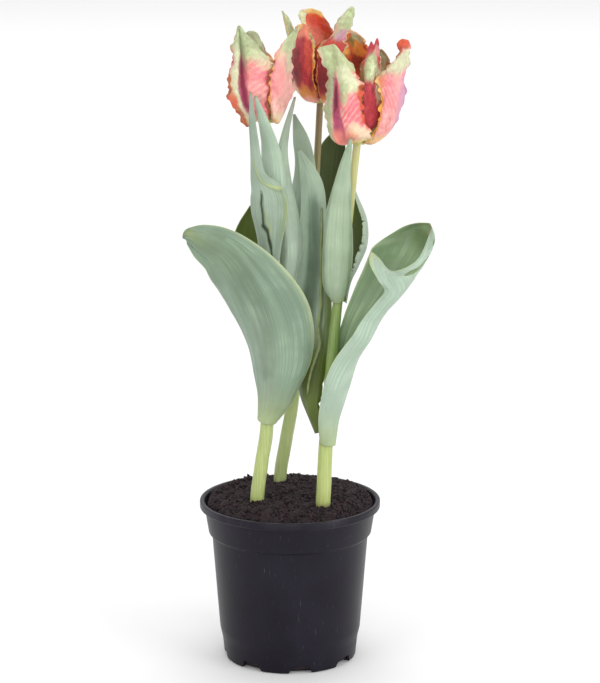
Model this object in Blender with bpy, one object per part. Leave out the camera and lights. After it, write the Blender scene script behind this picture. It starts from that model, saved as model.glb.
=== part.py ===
"""Three parrot tulips growing from bulbs in a 12 cm plastic nursery pot.

Lengths are in millimetres and angles in degrees until an object is made, and MM turns them into
metres. +Z is up. The pot stands on z = 0 with its axis through the origin, and its front is at -Y.
"""

import math

import bmesh
import bpy
import numpy as np

MM = 0.001
GAP = 0.35  # clearance between pieces that touch

# The pot
POT_HEIGHT = 107.5
RIM_RADIUS = 60.0
RIM_DROP = 5.0
COLLAR_TOP_RADIUS = 56.8
COLLAR_FOOT_RADIUS = 54.2
COLLAR_FOOT_Z = 85.0
BODY_TOP_RADIUS = 52.0
BODY_FOOT_RADIUS = 47.0
BODY_FOOT_Z = 20.0
FOOT_TOP_RADIUS = 45.4
FOOT_RADIUS = 44.0
FOOT_TOP_Z = 13.0
WALL = 1.3
FLOOR = 1.6
EDGE = 0.8  # half the height of each step in the pot's side
RIM_WALL = 2.4
ROUND = 1.6  # how far the rounded edges of the rim and the foot run
POT_SEGMENTS = 42
NOTCHES = 8
NOTCH_FIRST_ANGLE = 9.2
NOTCH_HEIGHT = 5.2
NOTCH_TOP_WIDTH = 11.0
NOTCH_FOOT_WIDTH = 17.0
NOTCH_INNER_RADIUS = 38.0
NOTCH_OUTER_RADIUS = 50.0
NOTCH_FOOT_Z = -1.0  # the cutter starts below the pot

# The soil
SOIL_TOP = 112.0
SOIL_FALL = 2.5  # how much lower the mound is at SHOULDER_RADIUS
SOIL_SHOULDER_RADIUS = 48.0
SOIL_SHOULDER_DROP = 5.5
SOIL_SHOULDER_WIDTH = 8.0
SOIL_LUMP = 1.1
# The lumps are waves: radians per millimetre along x and along y, phase and share
SOIL_WAVES = (
    (0.31, 0.27, 0.9, 0.5),
    (0.31, -0.27, 1.7, 0.5),
    (0.62, -0.35, 2.0, 0.7),
    (0.40, 0.95, 1.6, 0.5),
)
SOIL_SIDE_GAP = 0.6  # the soil's facets stay this far inside the pot's wall
SOIL_RINGS = 8
SOIL_SEGMENTS = 28

# The bulbs
BULB_HEIGHT = 42.0
BULB_RADIUS = 16.0
BULB_SEGMENTS = 14
BULB_FOOT_Z = 42.0
SOCKET_DEPTH = 6.0
NOSE_WALL = 2.6
NOSE_LENGTH = 4.0
# Shares of the bulb's radius and height, from below its nose down to its base plate
BULB_OUTLINE = ((0.72, 0.72), (0.95, 0.5), (1.0, 0.32), (0.86, 0.14))
BASE_PLATE = (0.5, 0.02)

# The stems: x, y, z and radius of each point of the axis, from the bulb up to the flower
STEM_SIDES = 10
STEM_ROWS = 12
STEMS = {
    "left": (
        (-21.0, -15.0, 78.4, 4.4),
        (-21.0, -15.6, 90.0, 4.6),
        (-21.6, -19.0, 112.5, 4.6),
        (-18.3, -19.5, 139.0, 4.4),
        (-14.6, -20.0, 168.0, 4.3),
        (-12.7, -20.0, 246.0, 3.4),
        (-13.8, -20.0, 312.0, 2.6),
        (-14.9, -20.0, 361.5, 2.5),
    ),
    "back": (
        (-4.0, 24.0, 78.4, 4.2),
        (-4.4, 24.3, 90.0, 4.3),
        (-6.9, 28.0, 112.5, 4.3),
        (-2.8, 28.0, 140.0, 4.3),
        (1.8, 28.0, 168.0, 4.2),
        (10.5, 28.0, 237.0, 3.2),
        (16.4, 28.0, 306.0, 2.4),
        (19.8, 28.0, 368.0, 2.2),
    ),
    "right": (
        (19.0, -19.0, 78.4, 4.6),
        (19.2, -19.6, 90.0, 4.8),
        (21.7, -28.0, 112.5, 4.8),
        (23.3, -28.0, 150.0, 4.6),
        (26.7, -28.0, 200.0, 3.9),
        (30.5, -28.0, 243.0, 3.2),
        (36.4, -28.0, 288.0, 2.6),
        (42.8, -28.0, 349.0, 2.4),
    ),
}

# The leaves. Each station is x, y, z of the midrib, half the blade's width, its cup (how far each
# margin turns from the midrib), the way its outer face looks (0 is the front and 90 the right), how
# far that face tilts up and how far the margins roll outwards.
LEAF_THICKNESS = 0.9
LEAF_ROWS_PER_STATION = 2
LEAF_COLUMNS = 6
ROLL_START = 0.6  # share of the half width where the rolled margin starts
LEAVES = {
    "left_broad_leaf": (
        (-18.0, -26.1, 166, 10.6, 101, -30, 0, 0),
        (-14.6, -31.6, 186, 19.4, 75, -32, 0, 0),
        (-14.0, -35.5, 212, 30.8, 66, -32, 0, 0),
        (-18.6, -40.4, 238, 33.1, 54, -27, 0, 0),
        (-29.2, -45.6, 262.9, 27.0, 44, -23, 0, 0),
        (-40.6, -48.5, 280.3, 18.2, 34, -18, 5, 0),
        (-55.0, -48.0, 290, 11.8, 24, -15, 10, 0),
        (-63.6, -45.0, 293.2, 5.4, 18, -15, 20, 0),
        (-67.4, -43.4, 291.6, 0.8, 15, -15, 30, 0),
    ),
    "left_shouldered_leaf": (
        (-16.9, -22.4, 236, 6.8, 80, -60, 0, 0),
        (-16.5, -28.5, 256, 7.6, 50, -45, 0, 0),
        (-13.6, -32.0, 284, 8.6, 48, -16, 0, 0),
        (-14.2, -34.5, 305, 13, 48, -10, 0, 0),
        (-15.0, -36.5, 318, 11.5, 46, -12, 0, 0),
        (-20.5, -39.5, 331, 5.6, 46, -20, 0, 0),
        (-22.8, -44.0, 354, 3.4, 46, -30, 0, 0),
        (-24.2, -50.5, 385, 0.8, 30, -30, 0, 0),
    ),
    "left_middle_leaf": (
        (-13.4, -24.7, 260, 4.4, 58, -14, 0, 0),
        (-12.0, -27.0, 290, 7.2, 46, -4, 0, 0),
        (-10.6, -28.2, 318, 8.4, 44, -4, 0, 0),
        (-11.2, -30.5, 338, 7.4, 44, -8, 0, 0),
        (-14.8, -38.5, 358, 4.6, 38, -14, 0, 0),
        (-21.2, -47.5, 382, 0.8, 20, -20, 0, 0),
    ),
    "left_folded_leaf": (
        (-8.9, -22.4, 214, 6.6, 80, 60, 0, 0),
        (-3.5, -22.3, 240, 7.6, 50, 60, 0, 0),
        (3.2, -19.4, 268, 11.0, 52, 48, 0, 0),
        (3.4, -17.8, 292, 11.2, 58, 42, 0, 0),
        (-1.2, -14.0, 318, 8.0, 60, 38, 0, 0),
        (-3.2, -12.5, 345, 4.2, 60, 35, 0, 0),
        (3.5, -12.0, 377, 0.8, 30, 35, 0, 0),
    ),
    "back_side_leaf": (
        (1.0, 32.2, 190, 7.6, 80, -140, 0, 0),
        (-10.0, 38.0, 222, 15, 60, -150, 0, 0),
        (-22.0, 42.0, 252, 15, 46, -155, 0, 0),
        (-29.0, 40.0, 278, 11, 40, -160, 0, 0),
        (-26.0, 35.0, 299, 0.8, 30, -160, 0, 0),
    ),
    "back_front_leaf": (
        (8.3, 22.8, 216, 7.3, 80, -5, 0, 0),
        (9.0, 17.0, 250, 13, 56, 0, 0, 0),
        (9.5, 13.0, 290, 13, 50, 5, 0, 0),
        (10.4, 11.0, 326, 7.6, 44, 5, 0, 0),
        (7.4, 10.0, 346, 5.4, 36, 5, 0, 0),
        (2.8, 10.0, 363, 0.8, 20, 5, 0, 0),
    ),
    "back_dark_leaf": (
        (13.0, 31.8, 246, 5.8, 84, 160, 0, 0),
        (20.0, 40.0, 280, 13, 60, 170, 0, 0),
        (26.0, 43.0, 312, 13, 50, 175, 0, 0),
        (29.0, 42.0, 335, 10, 44, 175, 0, 0),
        (35.0, 38.0, 352, 0.8, 20, 175, 0, 0),
    ),
    "right_tall_leaf": (
        (17.0, -29.8, 160, 7.2, 70, -70, 0, 0),
        (9.4, -24.8, 186, 13.2, 62, -50, 0, 0),
        (11.4, -16.2, 222, 16, 56, -22, 0, 0),
        (14.6, -9.6, 262, 13, 50, -10, 0, 0),
        (15.0, -9.0, 298, 9.6, 46, -10, 0, 0),
        (13.4, -8.0, 321, 7.6, 42, -10, 0, 0),
        (5.8, -8.0, 343, 0.8, 20, -10, 0, 0),
    ),
    "right_spindle_leaf": (
        (31.0, -32.2, 247, 5.4, 74, 0, 0, 0),
        (30.2, -36.0, 258, 10.0, 60, 0, 0, 0),
        (30.5, -39.0, 280, 11.5, 56, 0, 0, 0),
        (31.5, -41.0, 305, 9.5, 54, 0, 0, 0),
        (34.0, -44.5, 332, 5.0, 50, 0, 0, 0),
        (38.6, -51.5, 356, 0.8, 30, 0, 0, 0),
    ),
    "right_wrapping_leaf": (
        (35.8, -24.4, 246, 4.2, 50, 118, 0, 0),
        (38.0, -24.0, 258, 6.0, 62, 114, 0, 0),
        (43.0, -20.0, 267, 11, 72, 114, 0, 0),
        (48.6, -13.5, 280, 15, 70, 114, 0, 0),
        (49.0, -9.5, 296, 13.6, 70, 113, 0, 0),
        (43.4, -7.5, 311, 7.8, 56, 110, 0, 0),
        (38.5, -7.0, 325, 0.8, 30, 106, 0, 0),
    ),
}
# The trumpet leaf is rolled into a tube round the right stem and opens into a mouth. Its tube has
# stations as above, the last of which only sets the direction of the one before it. Each row of its
# mouth has six points, from its near margin, round its right side, to its far margin.
TRUMPET_ROWS = 22
TRUMPET_COLUMNS = 10
TRUMPET_SIDES = (-1.0, -0.72, -0.4, 0.1, 0.55, 1.0)  # where a row's six points lie across the tube
TRUMPET_TUBE = (
    (28.6, -31.0, 152, 10.8, 106, 60, 0, 0),
    (31.5, -32.0, 170, 15.5, 98, 68, 0, 0),
    (38.0, -34.0, 192, 21, 98, 76, 0, 0),
    (43.5, -36.0, 209, 24, 95, 88, 0, 0),
    (52.0, -38.0, 226, 26, 92, 98, 0, 0),
    (61.0, -40.0, 242, 28.5, 94, 103, 0, 0),
)
TRUMPET_MOUTH = (
    (
        (46, -56, 241), (51, -57, 241), (57, -53, 241),
        (61.5, -39, 243.5), (54, -27, 246), (38, -24, 245),
    ),
    (
        (54, -58, 252), (58.5, -60, 251.5), (65, -57, 251.5),
        (69.5, -42, 254.5), (61, -26, 257.5), (42.5, -25, 257),
    ),
    (
        (60, -60, 260.5), (64, -62.5, 260), (71.5, -60.5, 260.5),
        (77, -45, 264.5), (68, -25, 268), (47, -26, 267.5),
    ),
    (
        (55.5, -63, 268.5), (61.5, -64, 266), (72.5, -63.5, 265),
        (81.5, -47, 271.5), (73, -24, 277), (50.5, -29, 277),
    ),
    (
        (50.5, -57, 277), (58, -62, 271), (71.5, -66, 268.5),
        (85.5, -49, 277), (76, -23, 283.5), (53, -31, 283),
    ),
    (
        (51.5, -48, 282.5), (56.5, -57, 276), (70, -66, 271),
        (88.5, -50, 282.5), (79, -22.5, 289.5), (58, -27, 286.5),
    ),
    (
        (56, -50, 280), (60.5, -60, 274), (76, -64.5, 272.5),
        (90, -51, 287), (81, -23, 293.5), (66.5, -24, 291.5),
    ),
    (
        (64.5, -61, 273.5), (73, -64, 271), (83, -60.5, 277),
        (91, -50, 290.5), (84, -27, 296), (74, -23, 295.5),
    ),
    (
        (80, -61, 280.5), (85.5, -58.5, 282.5), (89.5, -53.5, 287.5),
        (91.5, -46.5, 293.5), (88, -33, 298), (81.5, -27, 298),
    ),
    (
        (89.5, -43, 296.5), (90, -42, 297), (90, -41, 298),
        (89.5, -39, 299), (89, -37, 299.5), (88.5, -35.5, 299.5),
    ),
)
MARGIN_WAVE = 1.1  # height of the ripple along the margins of a leaf whose half width is WAVED_WIDTH
WAVED_WIDTH = 30.0
MARGIN_WAVES = 2.5
MARGIN_LAG = 1.6  # how far the ripple of one margin is behind the other's
LEAST_CUP = 5.0

# The flowers
TEPAL_THICKNESS = 0.8
TEPAL_ROWS = 12
TEPAL_SIDES = (-1.0, -0.8, -0.42, 0.0, 0.42, 0.8, 1.0)  # places across a tepal, closer at its margins
TEPAL_FOOT_RADIUS = 5.8
INNER_LIFT = 2.4  # how far above the outer tepals the inner ones start
# Shares of a tepal's reach, height and half width from its foot to its tip
REACH_SHARES = (0.0, 0.52, 0.86, 1.0, 1.0, 0.97, 0.94)
HEIGHT_SHARES = (0.0, 0.05, 0.2, 0.41, 0.62, 0.82, 1.0)
WIDTH_SHARES = (0.1, 0.46, 0.8, 0.98, 0.98, 0.68, 0.04)
RUFFLE = 4.2  # how far the margins stand out
RUFFLES = 3.3
RUFFLE_LIFT = 1.5  # how far the ruffles rise and fall
MARGIN_SAG = 3.5  # how far the margins hang down near the foot
GROOVE_HALF_ANGLE = 14.0
# How each flower leans, and the tepals that the others hide. Each of these is its azimuth (0 is the
# front and 90 the right), height, reach, half width, how far its tip leans out and how deep the
# groove along its middle is.
FLOWERS = {
    "left": {
        "lean": (0, 0),
        "tepals": {
            "outer_tepal_3": (-150, 50, 20.0, 17.0, 1.0, 2.0),
            "inner_tepal_2": (130, 42, 14.0, 11.0, 0.0, 1.0),
            "inner_tepal_3": (-106, 46, 14.0, 10.0, 0.0, 1.0),
        },
    },
    "back": {
        "lean": (-3, -2),
        "tepals": {
            "inner_tepal_1": (6, 36, 13.5, 10.0, 0.0, 1.0),
            "inner_tepal_3": (-72, 42, 13.2, 6.0, -1.0, 1.0),
        },
    },
    "right": {
        "lean": (0, 4),
        "tepals": {
            "inner_tepal_3": (-108, 52, 13.5, 9.8, 0.0, 1.0),
        },
    },
}

# The place and the downward tilt of the view in which the points of the tepals below are given
VIEW_PLACE = (6.67, -1600.0, 573.0)
VIEW_TILT = 12.63
VIEW_FOCUS = 2497.0  # how far across the frame a thing as wide as it is far away reaches
VIEW_MIDDLE = (300.0, 341.5)

# Tepals that show from the front, each as a net of points from its foot up and across it from the left.
# A point is how far across and down it is seen from VIEW_PLACE, and its depth along Y. The ruffle is
# how far its margins stand out, and the phase is where their waves start.
SEEN_TEPALS = {
    "left_outer_tepal_1": {
        "net": (
            (
                (254.6, 120.5, -22), (255.8, 121, -23.8), (257.2, 121, -25), (258.8, 121, -26),
                (260.8, 121, -26.8), (263.2, 121, -27.3), (266, 120.5, -27.5),
            ),
            (
                (246, 125, -29), (247, 119, -33), (251, 117, -34), (255, 116, -34),
                (259, 117, -36), (264, 118, -34.5), (267.5, 120, -30),
            ),
            (
                (238, 113, -30), (240, 107, -36), (244, 105, -36), (248, 104, -34.5),
                (253, 105, -38.5), (263, 107, -37.5), (270, 110, -30.5),
            ),
            (
                (228, 95, -29), (235, 91, -38), (240, 90, -37.5), (245, 89, -35),
                (251, 90, -40), (263, 92, -39.5), (270, 95, -31),
            ),
            (
                (230, 78, -31), (235, 73, -38), (239, 73, -37), (244, 73, -34.5),
                (250, 74, -40), (263, 77, -39.5), (271, 79, -31),
            ),
            (
                (231.5, 60, -32), (236, 55, -37), (239, 55, -36), (242.5, 56, -34),
                (248, 57, -38.5), (260, 59, -38.5), (272, 63, -31.5),
            ),
            (
                (234, 43, -32), (236.5, 40, -35.5), (238.5, 41, -35), (240.5, 42, -33.5),
                (244, 43, -36), (251, 44, -36.5), (259, 48, -33.5),
            ),
            (
                (237, 28.5, -31.5), (237.7, 26.5, -32.5), (238.3, 26, -32.5), (239, 25.5, -32.5),
                (240.2, 26, -33), (241.5, 27.5, -33), (242.5, 30, -32.5),
            ),
        ),
        "ruffle": 1.7,
        "phase": 4.3,
    },
    "left_inner_tepal_1": {
        "net": (
            ((263, 119.5, -25.8), (266, 120, -26.1), (269, 120, -25.8), (271.3, 119.5, -25)),
            ((253, 104, -28), (260, 105, -29.8), (268, 105, -28.8), (275, 104, -27)),
            ((248, 85, -29), (256, 85, -30), (266, 85, -29.5), (276, 85, -25.5)),
            ((247.5, 62, -28.5), (254, 62, -28.5), (263, 63, -28), (274, 66, -25)),
            ((245.5, 45, -27), (250, 44, -27.5), (258, 45, -27), (266, 50, -24.5)),
            ((246, 33, -25.5), (249, 31, -26), (253, 31, -26), (257.5, 33, -25)),
        ),
        "ruffle": 0.5,
        "phase": 3.7,
    },
    "left_outer_tepal_2": {
        "net": (
            (
                (273, 121, -25.9), (275, 121, -24.7), (276.6, 121, -23.2), (277.5, 120.5, -21.6),
                (277.8, 120, -19.9),
            ),
            (
                (271.5, 115, -34.5), (274.5, 121, -34), (279, 122, -29.5), (282.5, 116, -24.5),
                (283, 109, -20),
            ),
            ((269, 99, -36.5), (275, 102, -37), (282, 104, -34), (288, 102, -28), (290, 99, -21.5)),
            ((269, 85, -37.5), (276, 87, -38.5), (284, 89, -35), (291, 88, -28), (294, 87, -21.5)),
            (
                (271.5, 73, -36.5), (277, 71, -37.5), (284, 72, -34), (289, 72, -28),
                (291, 72, -22.5),
            ),
            ((276, 57, -34), (280.5, 54, -35), (286, 54, -32), (290, 55, -27), (291.5, 56, -22.5)),
            ((283, 42, -31), (286.5, 40, -31.5), (290, 40, -30), (293, 42, -27), (294.5, 43, -24)),
            (
                (296, 29.5, -29), (297, 27.7, -29), (298.3, 26.5, -28.5), (299, 27, -28),
                (299, 28.5, -27.5),
            ),
        ),
        "ruffle": 1.5,
        "phase": 3.5,
    },
    "back_outer_tepal_3": {
        "net": (
            (
                (318, 100, 35.4), (314.6, 100, 34.6), (311.7, 100, 33.2), (309.7, 100, 31.3),
                (308.7, 100, 29.3),
            ),
            ((313, 82, 45), (303, 83, 43), (295, 84, 38), (292, 84, 32), (293.5, 84, 27)),
            ((308, 62, 46), (299, 62, 44), (292, 63, 39), (290, 63, 33), (292, 62, 28)),
            ((302, 45, 45), (296, 44, 43), (290.5, 44, 39), (288.5, 44, 34), (290.5, 43, 30)),
            ((295, 30, 43), (291.5, 29, 42), (288.5, 29, 39.5), (287, 30, 37), (289, 29, 34.5)),
            (
                (289, 19, 41.5), (287.5, 18, 40.8), (285.8, 18, 39.8), (284.5, 19, 38.8),
                (286, 18, 37.8),
            ),
            (
                (283, 11.5, 40), (282.5, 11, 40), (282, 10.7, 39.8), (281.8, 11, 39.5),
                (282.2, 11.5, 39.3),
            ),
        ),
        "ruffle": 0.7,
        "phase": 4.8,
    },
    "back_outer_tepal_1": {
        "net": (
            (
                (309, 100, 26), (310, 100.5, 24.2), (312, 101, 22.7), (314.3, 101, 21.5),
                (317, 101, 20.8),
            ),
            ((299, 92, 19), (303, 98, 15), (309, 100, 13), (315, 100, 12.5), (319, 96, 13.5)),
            ((293, 78, 20), (297, 80, 14), (303, 82, 11), (309, 81, 9.5), (313.5, 79, 9.5)),
            ((290.5, 64, 20), (294.5, 65, 14), (301, 65, 10.5), (308, 64, 8.5), (314.5, 60, 8.5)),
            ((292, 50, 21), (295.5, 50, 15.5), (301, 50, 12), (307, 49, 10.5), (314.5, 49, 10.5)),
            ((295.5, 37, 22), (298, 37, 18), (302, 36.5, 15.5), (305.5, 36, 14.5), (310, 37, 15.5)),
            ((295, 27.5, 24), (298, 25, 21.5), (301.5, 24, 20), (304.5, 24, 19.5), (308, 26, 20)),
        ),
        "ruffle": 1.5,
        "phase": 5.3,
    },
    "back_inner_tepal_2": {
        "net": (
            (
                (314.9, 100, 33), (316, 100, 33.6), (318.5, 100, 34.1), (321.5, 100, 34.1),
                (324.5, 100, 33.3),
            ),
            ((305, 82, 31), (304.5, 82, 33.5), (315, 82, 39), (325, 82, 40), (334, 82, 35)),
            ((307.5, 62, 31), (304, 62, 32.5), (313, 62, 40), (326, 62, 42), (337, 62, 37)),
            ((316, 47, 26), (311, 44, 27), (315, 46, 35), (326, 46, 40), (338, 48, 37)),
            ((311.5, 34, 24.5), (305, 29, 25), (311, 31, 33), (322, 31, 38), (335, 34, 37)),
            ((306, 21, 24), (299, 17, 24.5), (306, 18, 31), (315, 20, 35.5), (330, 26, 35)),
            ((307, 13, 25), (300.5, 10.5, 25.5), (306, 9, 30), (312, 8.5, 32), (321, 11.5, 33)),
        ),
        "inside_out": True,
        "ruffle": 0.8,
        "phase": 0.6,
    },
    "back_outer_tepal_2": {
        "net": (
            (
                (323, 101, 20.8), (325.7, 101, 21.5), (328.6, 101, 23), (330.5, 100.5, 25),
                (331.4, 100, 27.2),
            ),
            ((321, 98, 14.5), (325, 102, 12.5), (330, 100, 12), (336, 94, 14.5), (339, 88, 19)),
            ((317, 81, 12), (322, 81, 9.5), (330, 79, 9), (338, 76, 12.5), (343, 73, 18)),
            ((317.5, 64, 12), (323, 62, 9.5), (332, 60, 9.5), (341, 58, 13), (348.5, 56, 20)),
            ((319.5, 47, 14.5), (327, 44, 12.5), (335, 43, 12), (343, 43, 15), (349.5, 43, 21)),
            ((330, 36, 18), (335, 33, 16), (340.5, 32, 15.5), (346.5, 32, 18), (350.5, 32, 22)),
            ((337, 22, 21), (341, 19.5, 19.5), (345.5, 18.5, 19), (350.5, 18, 21), (353.5, 18, 24)),
            ((347, 10, 24), (349, 8, 23.5), (351.5, 6.5, 23.3), (353.5, 7.2, 24), (354.5, 9.5, 25)),
        ),
        "ruffle": 0.9,
        "phase": 1.5,
    },
    "right_outer_tepal_1": {
        "net": (
            (
                (349, 141, -33.5), (350.5, 142, -34.5), (352, 143, -35.2), (354, 143, -35.6),
                (356, 143, -35.7), (358, 143, -35.6), (360, 142, -35.1),
            ),
            (
                (329, 128, -35), (332, 138, -40), (338, 143, -43), (345, 141, -44),
                (351, 137, -48), (360, 136, -47.5), (371, 137, -42.5),
            ),
            (
                (325.5, 117, -37), (329.5, 121, -44), (334, 122, -46), (340, 120, -46),
                (347, 119, -51), (356, 119, -51), (366, 124, -45.5),
            ),
            (
                (325, 101, -38), (329, 103, -45.5), (333.5, 103, -47), (339, 102, -46),
                (345, 101, -52), (354, 102, -52), (362, 106, -46),
            ),
            (
                (328, 86, -39), (330.5, 86, -46.5), (334, 86, -47.5), (338.5, 86, -46.5),
                (344, 86, -51.5), (353, 87, -51.5), (363, 92, -46),
            ),
            (
                (327, 71, -40), (329, 71, -46), (332.5, 71, -46.5), (337, 71, -46),
                (342, 72, -50.5), (351, 74, -51), (360.5, 80, -46.5),
            ),
            (
                (321, 58, -41), (324, 57, -45), (329, 56, -46), (334.5, 57, -45),
                (338.5, 58, -48), (345, 61, -49), (353.5, 68, -46),
            ),
            (
                (317, 50, -41), (319.5, 47.5, -43), (324, 46, -44.5), (331, 44.5, -44.5),
                (333.5, 44, -45.5), (336, 46, -45.5), (339, 49.5, -44.5),
            ),
        ),
        "ruffle": 1.5,
        "phase": 0.3,
    },
    "right_outer_tepal_2": {
        "net": (
            (
                (363.3, 143, -32.7), (364.9, 143, -31.6), (366, 142.6, -30.2), (366.6, 142.3, -28.5),
                (366.4, 142, -26.9),
            ),
            (
                (368, 138, -37.5), (373, 143, -38.5), (379, 141, -37), (384.5, 136, -33),
                (386, 131, -26),
            ),
            (
                (375, 128, -42.5), (382, 129, -45), (390, 126, -43), (396, 121, -36),
                (397.5, 117, -27),
            ),
            (
                (380.5, 111, -45), (387, 111, -47.5), (395, 108, -45), (401, 104, -38),
                (402.5, 101, -28),
            ),
            ((380, 93, -45), (387, 91, -48), (396, 90, -45.5), (402.5, 88, -38), (404.5, 86, -28)),
            ((379, 78, -44), (386, 74, -47), (396, 73, -45), (403.5, 72, -38), (406, 71, -29)),
            ((390, 65, -43), (395.5, 61, -44.5), (401, 60, -42.5), (406, 59, -37), (408, 58, -31)),
            ((399, 54, -41), (402, 51, -42), (405, 49.5, -41), (408.5, 49, -38), (409.5, 49, -34)),
            (
                (397, 46, -42), (399.5, 41.5, -43), (403, 39.5, -42.5), (408, 41, -41),
                (410, 46, -38),
            ),
            (
                (398, 49, -44.5), (400, 47.5, -46), (403, 47, -46.5), (406, 47.5, -45.5),
                (407.5, 49, -43),
            ),
        ),
        "ruffle": 1.3,
        "phase": 4.9,
    },
    "right_outer_tepal_3": {
        "net": (
            (
                (350.5, 139.5, -23.7), (352, 139.5, -22.9), (353.7, 139.5, -22.4), (355.7, 139.5, -22),
                (357.5, 139.8, -22),
            ),
            ((340, 115, -14), (349, 115, -8), (360, 115, -5), (370, 115, -5.5), (378, 116, -8)),
            ((339, 90, -13), (348, 90, -7), (360, 90, -4.5), (372, 90, -5), (380, 91, -8)),
            ((342, 68, -15), (349, 68, -9), (359, 68, -6.5), (370, 70, -6.5), (378, 72, -9)),
            ((345.5, 52, -20), (351, 51, -14), (357, 52, -12), (364, 55, -11.5), (371, 59, -12)),
            ((346, 40, -22), (350, 39, -19), (355, 39, -17.5), (361, 41, -16), (367, 45, -15.5)),
            ((347, 32, -24), (350, 30, -23), (353, 31, -22), (357, 33, -21), (362, 37, -19.5)),
        ),
        "inside_out": True,
        "ruffle": 2.4,
        "phase": 3.6,
    },
    "right_inner_tepal_1": {
        "net": (
            (
                (353.5, 140, -33.6), (355.5, 140.5, -34), (357.5, 140.5, -34.1), (359.5, 140.5, -33.8),
                (361.5, 140, -33.2),
            ),
            ((357, 121, -38), (362, 123, -42), (368, 124, -42), (375, 122, -40), (380, 119, -36.5)),
            ((358, 101, -38), (363, 102, -43), (370, 102, -43), (376, 101, -41), (382, 99, -36.5)),
            ((359, 82, -38), (364, 82, -42.5), (370, 82, -43), (376, 81, -41), (382, 80, -37)),
            ((362, 66, -37), (366, 65, -41), (371, 65, -41.5), (376, 65, -39.5), (381, 66, -36)),
            ((367, 53, -35), (369, 52, -38), (372.5, 51, -38.5), (376, 52, -37), (380, 54, -35)),
            (
                (370, 44, -33.5), (371.5, 41.5, -35), (374, 45, -35.5), (377, 38, -35),
                (379, 43, -34),
            ),
        ),
        "ruffle": 0.8,
        "phase": 1.4,
    },
    "right_inner_tepal_2": {
        "net": (
            (
                (359, 139, -22.2), (361, 139, -22.5), (362.5, 139.5, -23.1), (364, 139.5, -24),
                (365, 140, -25),
            ),
            ((364, 119, -16.5), (371, 119, -14), (380, 119, -13), (388, 119, -15), (394, 119, -20)),
            ((366, 92, -16), (373, 92, -13), (381, 92, -12), (390, 92, -14.5), (397, 92, -20)),
            ((368, 70, -17), (374, 69, -15), (381, 69, -14), (389, 70, -16), (395, 72, -21)),
            ((374, 57, -20), (377.5, 55, -19), (382, 55, -18.5), (387, 58, -19.5), (391, 63, -22)),
            (
                (379, 50.5, -24), (380, 49.5, -23.5), (382, 49.5, -23), (385, 52.5, -23),
                (387.5, 56, -24),
            ),
        ),
        "inside_out": True,
        "ruffle": 0.6,
        "phase": 2.1,
    },
}

# The hearts: radius and height of the pistil's outline, from its foot up
PISTIL = (
    (5.2, -1.0),
    (5.2, 3.4),
    (3.4, 5.2),
    (3.2, 9.0),
    (3.6, 16.0),
    (2.6, 20.0),
    (4.4, 22.5),
    (2.0, 23.5),
)
PISTIL_SIDES = 10
STAMENS = 6
# Distance from the axis, height and radius along a stamen: its filament, then its anther
STAMEN = (
    (3.0, 3.0, 0.8),
    (6.0, 8.0, 0.7),
    (7.0, 11.0, 1.4),
    (7.6, 17.0, 1.5),
    (7.8, 19.0, 0.6),
)
STAMEN_SIDES = 5

# Name, colour, roughness
LEAF_GREEN = ("leaf_green", (0.38, 0.52, 0.38), 0.55)
STEM_GREEN = ("stem_green", (0.45, 0.56, 0.22), 0.5)
TEPAL_PINK = ("tepal_pink", (0.82, 0.34, 0.33), 0.6)
TEPAL_RED = ("tepal_red", (0.60, 0.13, 0.08), 0.6)
HEART_YELLOW = ("heart_yellow", (0.55, 0.52, 0.16), 0.6)
BULB_BROWN = ("bulb_brown", (0.30, 0.14, 0.05), 0.7)
SOIL_BROWN = ("soil_brown", (0.022, 0.013, 0.010), 0.95)
POT_BLACK = ("pot_black", (0.028, 0.026, 0.034), 0.4)


def clear_scene():
    for thing in list(bpy.data.objects):
        bpy.data.objects.remove(thing)


def material(finish):
    name, colour, roughness = finish
    found = bpy.data.materials.get(name)
    if found:
        return found
    made = bpy.data.materials.new(name)
    made.use_nodes = True
    shader = made.node_tree.nodes["Principled BSDF"]
    shader.inputs["Base Color"].default_value = (*colour, 1.0)
    shader.inputs["Roughness"].default_value = roughness
    shader.inputs["Metallic"].default_value = 0.0
    return made


def make_object(name, points, faces, finish):
    """A smooth-shaded object from points in millimetres."""
    mesh = bpy.data.meshes.new(name)
    mesh.from_pydata([tuple(float(c) * MM for c in point) for point in points], [], faces)
    mesh.shade_smooth()
    mesh.set_sharp_from_angle(angle=math.radians(40))
    mesh.materials.append(material(finish))
    made = bpy.data.objects.new(name, mesh)
    bpy.context.scene.collection.objects.link(made)
    return made


def as_cutter(cutter):
    cutter.hide_render = True
    cutter.display_type = "WIRE"
    return cutter


def cut(target, cutter):
    modifier = target.modifiers.new(f"cut by {cutter.name}", "BOOLEAN")
    modifier.operation = "DIFFERENCE"
    modifier.solver = "EXACT"
    modifier.object = as_cutter(cutter)


def along(stations, share):
    """The stations' values at a share of the way along, on a smooth curve through them all."""
    stations = np.asarray(stations, float)
    last = len(stations) - 1
    place = share * last
    start = min(int(place), last - 1)
    part = place - start
    before, here, there, after = (
        stations[min(max(start + step, 0), last)] for step in (-1, 0, 1, 2)
    )
    bend = 2 * before - 5 * here + 4 * there - after
    rest = 3 * (here - there) + after - before
    return here + 0.5 * part * (there - before + part * (bend + part * rest))


def unit(vector):
    return vector / np.linalg.norm(vector)


def ring_faces(rows, sides):
    """Quads between rows of points that each run round in a ring."""
    return [
        (
            row * sides + side,
            row * sides + (side + 1) % sides,
            (row + 1) * sides + (side + 1) % sides,
            (row + 1) * sides + side,
        )
        for row in range(rows - 1)
        for side in range(sides)
    ]


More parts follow.
